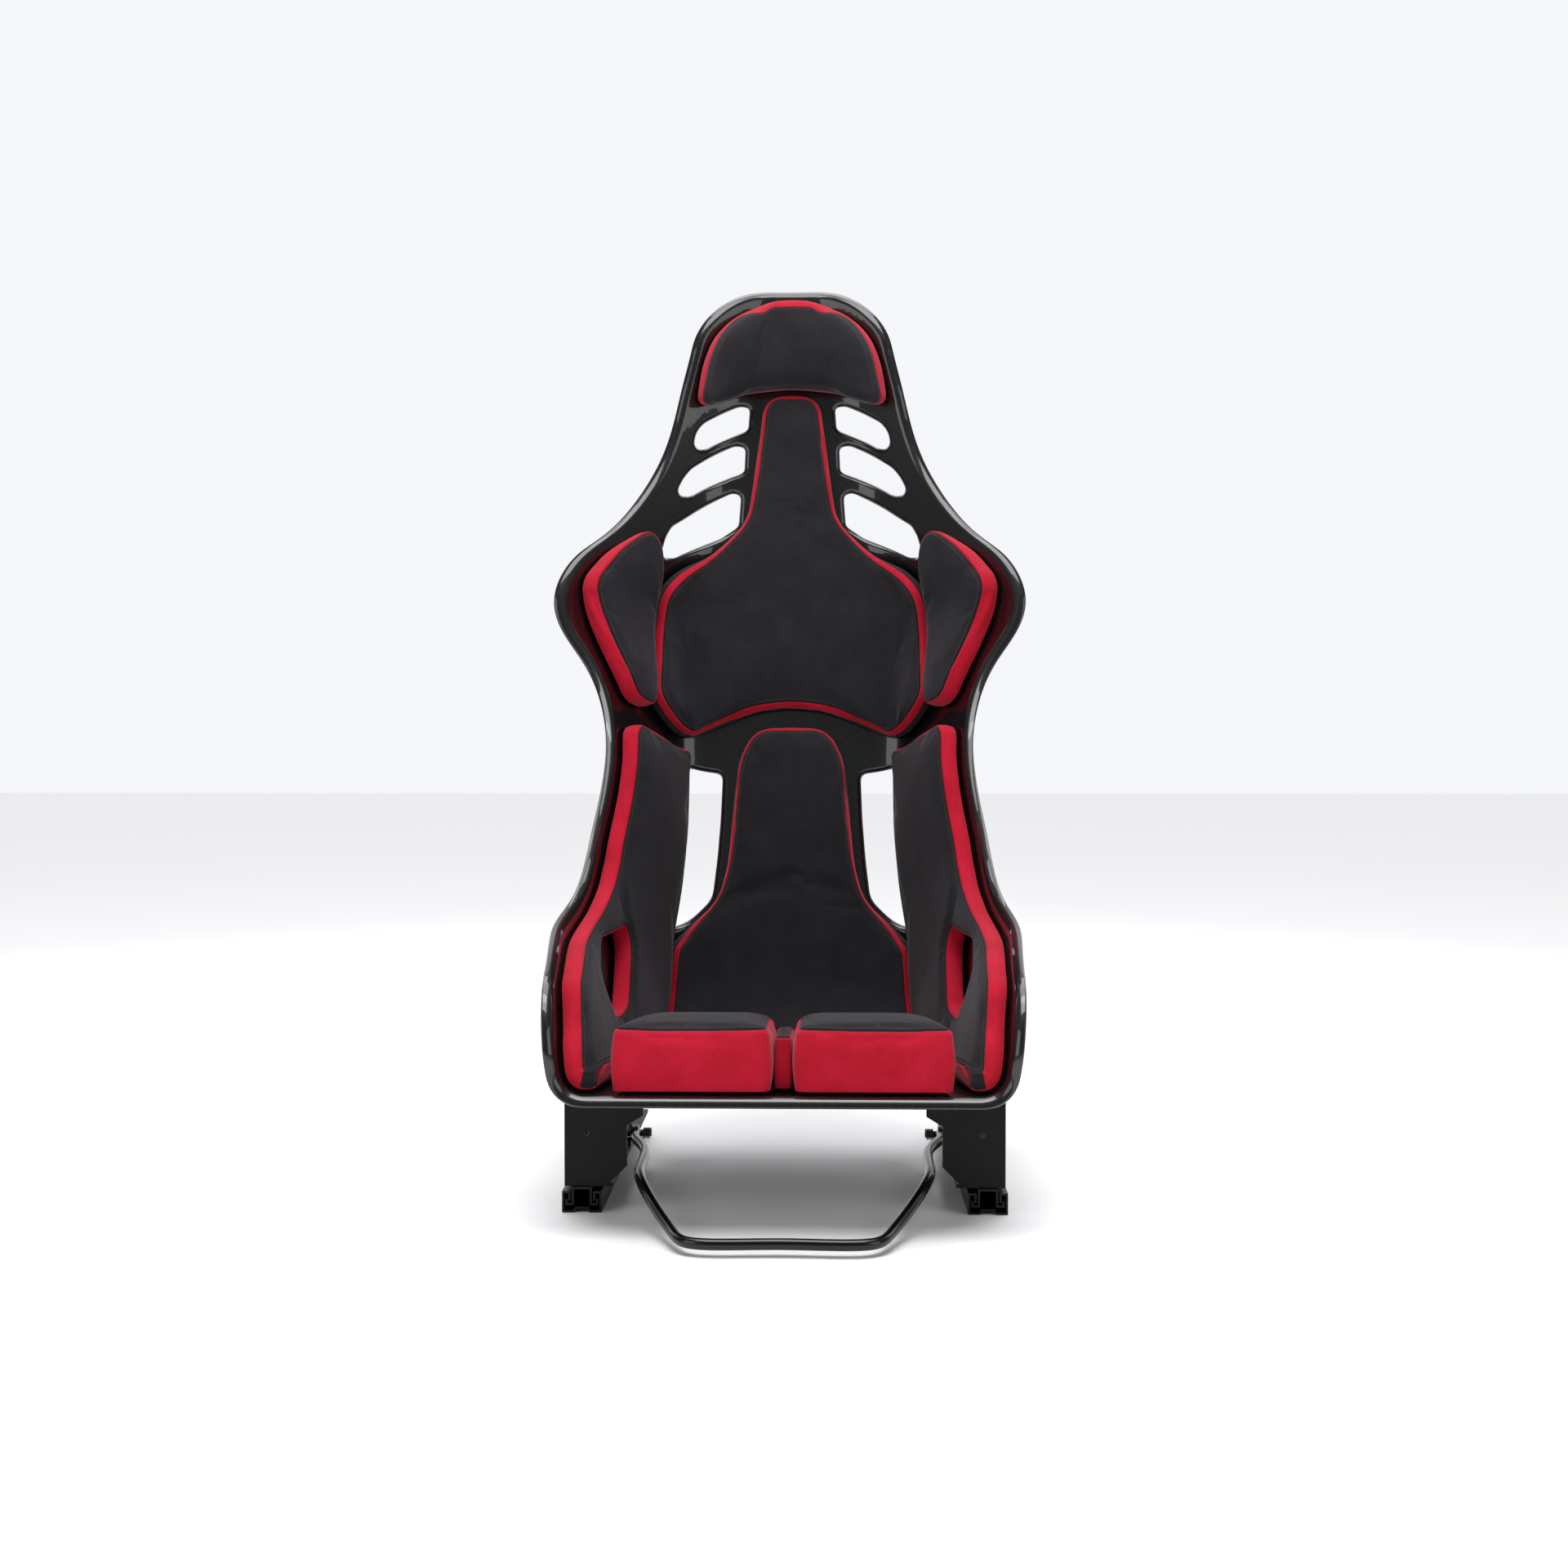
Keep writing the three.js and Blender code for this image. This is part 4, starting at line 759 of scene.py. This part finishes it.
HEAD_T, BACK_T, SEAT_T = 42.0, 20.0, 22.0  # mm from the glue to the edge of the face
head = pad_arrays(rounded(both_halves(HEAD_PAD), 20), HEAD_T, edge=16, crown=5, seam=head_seam,
                  bulge=2.5, rows=9)
fit_pad("head_cushion", "head_pad", head, cap=3.5)
back = pad_arrays(rounded(both_halves(BACK_PAD), 26), BACK_T, edge=8, crown=4, seam=4.5, step=5.5,
                  piping=9.0)
fit_pad("back_cushion", "back_pad", back)
seat = pad_arrays(rounded(both_halves(SEAT_PAD), 26), SEAT_T, edge=8, crown=4, seam=2.8, step=6.0,
                  piping=7.0)
fit_pad("seat_cushion", "seat_pad", seat)

# %% [markdown]
# ## Shoulder, hip and thigh pads
# These come in pairs. Their outer sides face the front, so their crimson boxing shows as a wide
# band. The hip pad is cut out round the lap belt slot, and its outline follows the shell's rim
# 19 mm in.
# The thigh pads are blocks cut level on top, and they stand upright from the pan.

# %% Side pads
SHOULDER_PAD = [[222, 1118], [240, 1134], [300, 1102], [352, 1056], [350, 1012], [328, 914], [306, 838],
                [264, 846], [250, 862], [238, 905], [230, 955], [217, 1050], [215, 1085]]
SIDE_PAD_INNER = [[203, 16], [192, 84], [184, 186], [188, 300], [194, 436], [206, 525], [192, 574],
                  [182, 612], [170, 672], [158, 730], [150, 808], [152, 826], [240, 806], [312, 778]]
THIGH_PAD = [[13, 10], [182, 10], [172, 84], [160, 178], [13, 178]]
STRIP_PAD = [[-9, 32], [9, 32], [9, 178], [-9, 178]]
INSET = 19
down = np.array([740, 670, 600, 550, 510, 475, 422, 361, 300, 240, 180, 120, 84, 62.])
hip_outline = np.vstack([SIDE_PAD_INNER, np.column_stack([rim_at(down) - INSET, down]),
                         [[rim_at(0.0) - 28, 40], [rim_at(0.0) - 49, 22], [rim_at(0.0) - 79, 16]]])
BELT_CUT = [[365, 262], [364, 385], [336, 375], [272, 290], [267, 238], [325, 213]]

SHOULDER_T, HIP_T, THIGH_T, STRIP_PAD_T = 24.0, 22.0, 68.0, 55.0
shoulder = pad_arrays(rounded(SHOULDER_PAD, 22), SHOULDER_T, edge=8, crown=4, seam=3.0, rows=6)
fit_pad("shoulder_cushion_right", "shoulder_pad_right", shoulder)


def hip_seam(place, way):
    """3 mm on the face all round, but 40 mm down the front end where it lies on the pan's floor."""
    return 3.0 - 43 * smooth((222 - place[:, 0]) / 12) * smooth((45 - place[:, 1]) / 20)


hip = pad_arrays(rounded(hip_outline, 20), HIP_T, edge=8, crown=3, seam=hip_seam, rows=6,
                 holes=(rounded(BELT_CUT, 16),), step=5.5)
fit_pad("hip_cushion_right", "hip_pad_right", hip)
thigh = pad_arrays(rounded(THIGH_PAD, 14), THIGH_T, edge=11, crown=4, upright=True, seam=4.0,
                   bulge=2.5, rows=12)
fit_pad("thigh_cushion_right", "thigh_pad_right", thigh, cap=2.5)
strip = pad_arrays(rounded(STRIP_PAD, 4), STRIP_PAD_T, edge=4, crown=1, upright=True, seam=1.5,
                   bulge=0.6, rows=9, step=4.0)
fit_pad("nose_strip", "strip_pad", strip, cap=1.0)

# %% [markdown]
# ## Steel and aluminium
# Under the seat everything is working steel. The brackets are powder-coated: a baked plastic
# film, matt black, with a fine skin like orange peel. The rails are black e-coated spring steel,
# smoother. Bolts, nuts and pins are black zinc-plated, springs are oiled wire, balls are polished, and
# the bosses between shell and bracket are turned aluminium.

# %% Metal materials
def metal_finish(name, colour, darker, metallic, rough, grain, depth,
                 coat=0.0, stretch=(1, 1, 1), gleam=0.5):
    """Two close colours mixed by a noise of grain mm, and the same noise as a bump of depth mm."""
    made, tree, shader = finish(name)
    where = add(tree, "TexCoord").outputs["Object"]
    placed = add(tree, "Mapping", {"Vector": where, "Scale": stretch}).outputs["Vector"]
    grains = add(tree, "TexNoise", {"Vector": placed, "Scale": 1000 / grain / 2,
                                    "Detail": 2.0}).outputs["Fac"]
    patches = add(tree, "TexNoise", {"Vector": where, "Scale": 14.0, "Detail": 3.0}).outputs["Fac"]
    tone = add(tree, "Mix", {"Factor": patches, "A": linear(darker), "B": linear(colour)}, data_type="RGBA")
    tree.links.new(tone.outputs["Result"], shader.inputs["Base Color"])
    worn = add(tree, "MapRange", {"Value": patches, "To Min": rough * 0.8, "To Max": rough * 1.2})
    tree.links.new(worn.outputs["Result"], shader.inputs["Roughness"])
    bump = add(tree, "Bump", {"Strength": 0.5, "Distance": depth / 1000, "Height": grains})
    tree.links.new(bump.outputs["Normal"], shader.inputs["Normal"])
    shader.inputs["Metallic"].default_value = metallic
    shader.inputs["Specular IOR Level"].default_value = gleam
    shader.inputs["Coat Weight"].default_value = coat
    shader.inputs["Coat Roughness"].default_value = 0.08
    return made


powder = metal_finish("black_powder_coat", "#070708", "#040405", 0.0, 0.5, 1.6, 0.08, gleam=0.2)
enamel = metal_finish("gloss_black_enamel", "#06070a", "#030406", 0.0, 0.25, 2.5, 0.04,
                      coat=0.3, gleam=0.3)
e_coat = metal_finish("black_e_coated_steel", "#0b0b0d", "#070709", 0.0, 0.4, 1.0, 0.03,
                      stretch=(4, 0.3, 4), gleam=0.25)
zinc = metal_finish("black_zinc_plate", "#4a4b50", "#2b2c30", 1.0, 0.34, 0.7, 0.02)
spring_wire = metal_finish("oiled_spring_wire", "#5a5c60", "#3a3b3e", 1.0, 0.3, 0.5, 0.02)
ball_steel = metal_finish("polished_ball_steel", "#c3c6ca", "#aeb2b6", 1.0, 0.12, 2.0, 0.003)
turned_aluminium = metal_finish("turned_aluminium", "#9fa0a2", "#7f8184", 1.0, 0.3, 0.5, 0.03,
                                stretch=(6, 0.5, 0.5))

# %% [markdown]
# ## Lift bar, springs and bolts
# A tube is a circle carried along a path, and a turned part is a profile carried round an axis.
# The lift bar is one bent tube with an eye on each pin and a finger behind it. The springs are
# wire along a helix. The bolts are socket heads, whose recess is a hexagon: its radius at an
# angle is the half width across flats over the cosine of the angle to the nearest flat.

# %% Tubes and turned parts
def outwards(points, faces):
    """Faces turned over if they enclose a negative volume, the sum of p . (q x r) over their fans."""
    total = 0.0
    for part in faces:
        p = points[part]
        for k in range(1, part.shape[1] - 1):
            total += (p[:, 0] * np.cross(p[:, k], p[:, k + 1])).sum()
    return faces if total > 0 else [part[:, ::-1] for part in faces]


def swept(rings):
    """A closed surface through rows of equal rings, with a flat cap at each end."""
    rows, sides = rings.shape[:2]
    points = rings.reshape(-1, 3)
    faces = [grid_faces(rows, sides, closed_u=True), np.arange(sides)[None, ::-1],
             (np.arange(sides) + (rows - 1) * sides)[None]]
    return points, outwards(points, faces)


def tube(path, radius, sides=20):
    """centre + radius (cos t side + sin t up), where side and up are square to the way ahead."""
    ahead = np.gradient(path, axis=0)
    ahead /= np.linalg.norm(ahead, axis=1, keepdims=True)
    side = np.cross(ahead, [[0.03, 0.02, 1.0]])
    side /= np.linalg.norm(side, axis=1, keepdims=True)
    up = np.cross(side, ahead)
    t = np.linspace(0, 2 * math.pi, sides, endpoint=False)[None, :, None]
    return swept(path[:, None] + radius * (np.cos(t) * side[:, None] + np.sin(t) * up[:, None]))


def turned(profile, centre, axis="x", sides=48, hexed=()):
    """Rows of (place along the axis, radius) carried round it; rows listed in hexed are hexagons."""
    along, radius = np.asarray(profile, float).T
    t = np.linspace(0, 2 * math.pi, sides, endpoint=False)
    flat_angle = (t % (math.pi / 3)) - math.pi / 6
    r = np.repeat(radius[:, None], sides, 1)
    rows = list(hexed)
    r[rows] = radius[rows, None] / np.cos(flat_angle)
    ring = np.stack([along[:, None] + 0 * r, r * np.cos(t), r * np.sin(t)], -1)
    if axis == "z":
        ring = ring[..., [1, 2, 0]]
        return swept(ring + [centre[0], centre[1], 0])
    return swept(ring + [0, centre[0], centre[1]])


def together(*parts):
    """Several point and face sets as one."""
    starts = np.cumsum([0] + [len(points) for points, _ in parts])
    return (np.vstack([points for points, _ in parts]),
            [f + start for (_, faces), start in zip(parts, starts) for f in faces])


def steel_piece(name, node, shape, material, body="seat", hands=("right", "left")):
    """Places a piece, and its mirror image for the left hand, and lets it stand for its CAD node."""
    points, faces = shape
    for hand in hands or ("",):
        sign = -1 if hand == "left" else 1
        piece = mesh_object(name + (f"_{hand}" if hand else ""), points * [sign, 1, 1] / 1000,
                            faces if sign > 0 else [f[:, ::-1] for f in faces], material)
        piece.data.set_sharp_from_angle(angle=math.radians(40))
        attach(piece, body)
        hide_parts(node + (f"_{hand}" if hand else ""))


print("a 12 mm tube round a 100 mm path has",
      len(tube(np.linspace([0, 0, 0], [0, 100, 0.], 20), 6)[0]), "points")

# %% Lift bar
BAR_D, PIN_D, FINGER_D, FINGER_ARM = 12.0, 8.0, 5.0, 30.0
PIVOT = np.array([25.0, 46.0])          # y, z
RAIL_X, EYE_T = 225.0, 8.0                # middle of each rail
ARM_X, EYE_X = RAIL_X - 42.0, RAIL_X - 39.4
half_bar = np.array([[0, 18, 46], [-1, -5, 46], [-17, -60, 46], [-21, -150, 46], [-28, -201, 43],
                     [-45, -247, 31], [-70, -300, 16], [-90, -328, 13]], float) + [ARM_X, 0, 0]
bar_points = np.vstack([half_bar, [[0, -330.5, 13]], (half_bar * [-1, 1, 1])[::-1]])
bar_run = np.concatenate([[0], np.cumsum(np.linalg.norm(np.diff(bar_points, axis=0), axis=1) ** 0.5)])
bar_path = spaced(through(bar_run, bar_points)(np.linspace(0, bar_run[-1], 600)), 4.0, closed=False)
eye_profile = [(-EYE_T / 2, 4.4), (-EYE_T / 2, 9.2), (-EYE_T / 2 + 0.8, 10), (EYE_T / 2 - 0.8, 10),
               (EYE_T / 2, 9.2), (EYE_T / 2, 4.4)]
bar_parts = [tube(bar_path, BAR_D / 2, 24)]
for sign in (1, -1):
    ring, _ = turned([(sign * EYE_X + x, r) for x, r in eye_profile], PIVOT)
    closed = grid_faces(len(eye_profile), 48, closed_u=True, closed_v=True)
    bar_parts.append((ring, outwards(ring, [closed])))
    tip = sign * (RAIL_X + 6.0)
    bar_parts.append(turned([(sign * (RAIL_X - 41.4), FINGER_D / 2), (tip - sign * 0.8, FINGER_D / 2),
                             (tip, 1.8)], PIVOT - [FINGER_ARM, 0], sides=24))
steel_piece("towel_bar", "lift_bar", together(*bar_parts), enamel, body="lift_bar", hands=())
bar_long = np.linalg.norm(np.diff(bar_path, axis=0), axis=1).sum()
print("lift bar: path", round(float(bar_long)), "mm long")

# %% Return springs
COILS, WIRE, SPRING_X = 4, 1.8, RAIL_X - 58.0
t = np.linspace(0, 1, 4 * 40 + 1)
coil_r = PIN_D / 2 + 0.4 + WIRE / 2 + 0.6
helix = np.column_stack([SPRING_X + t * (WIRE + 0.6) * COILS,
                         PIVOT[0] + coil_r * np.cos(2 * math.pi * COILS * t),
                         PIVOT[1] + coil_r * np.sin(2 * math.pi * COILS * t)])
steel_piece("wound_spring", "return_spring", tube(helix, WIRE / 2, 10), spring_wire)
print("spring:", COILS, "coils of", WIRE, "mm wire")

# %% Socket head bolts
SOCKET = 2.6  # mm, half the width across the flats
for end in ("front", "rear"):
    low, high = (np.array(v) * 1000 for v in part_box(f"shell_bolt_{end}_right"))
    centre, head_low = (low + high)[1:] / 2, high[0] - 4.5
    rows = [(low[0], 3.4), (low[0] + 0.8, 4.0), (head_low, 4.0), (head_low, 6.6), (head_low + 0.5, 7.0),
            (high[0] - 1.6, 7.0), (high[0] - 0.5, 6.3), (high[0], 5.0), (high[0], SOCKET + 0.3),
            (high[0] - 0.4, SOCKET), (high[0] - 2.8, SOCKET)]
    steel_piece(f"shell_screw_{end}", f"shell_bolt_{end}",
                turned(rows, centre, hexed=(9, 10)), zinc)
    low, high = (np.array(v) * 1000 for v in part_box(f"rail_bolt_{end}_right"))
    centre, head_low = (low + high)[:2] / 2, high[2] - 4.5
    rows = [(low[2], 3.4), (low[2] + 0.8, 4.0), (head_low, 4.0), (head_low, 6.6), (head_low + 0.5, 7.0),
            (high[2] - 1.6, 7.0), (high[2] - 0.5, 6.3), (high[2], 5.0), (high[2], SOCKET + 0.3),
            (high[2] - 0.4, SOCKET), (high[2] - 2.8, SOCKET)]
    steel_piece(f"rail_screw_{end}", f"rail_bolt_{end}",
                turned(rows, centre, "z", hexed=(9, 10)), zinc)
    print(end, "bolts, socket", 2 * SOCKET, "mm across flats")

# %% Finishes for the CAD's own pieces
FINISHES = {"side_bracket": powder, "upper_rail": e_coat, "lower_rail": e_coat, "lock_pawl": zinc,
            "pivot_pin": zinc, "return_spring": spring_wire, "shell_boss": turned_aluminium,
            "shell_bolt": zinc, "shell_washer": zinc, "rail_bolt": zinc, "rail_nut": zinc,
            "ball_strip": zinc, "ball": ball_steel, "lift_bar": enamel}
dressed = 0
for node_name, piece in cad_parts.items():
    if piece.hide_render:
        continue
    key = max((k for k in FINISHES if node_name.startswith(k)), key=len)
    piece.data.materials.clear()
    piece.data.materials.append(FINISHES[key])
    dressed += 1
print(dressed, "CAD pieces dressed")
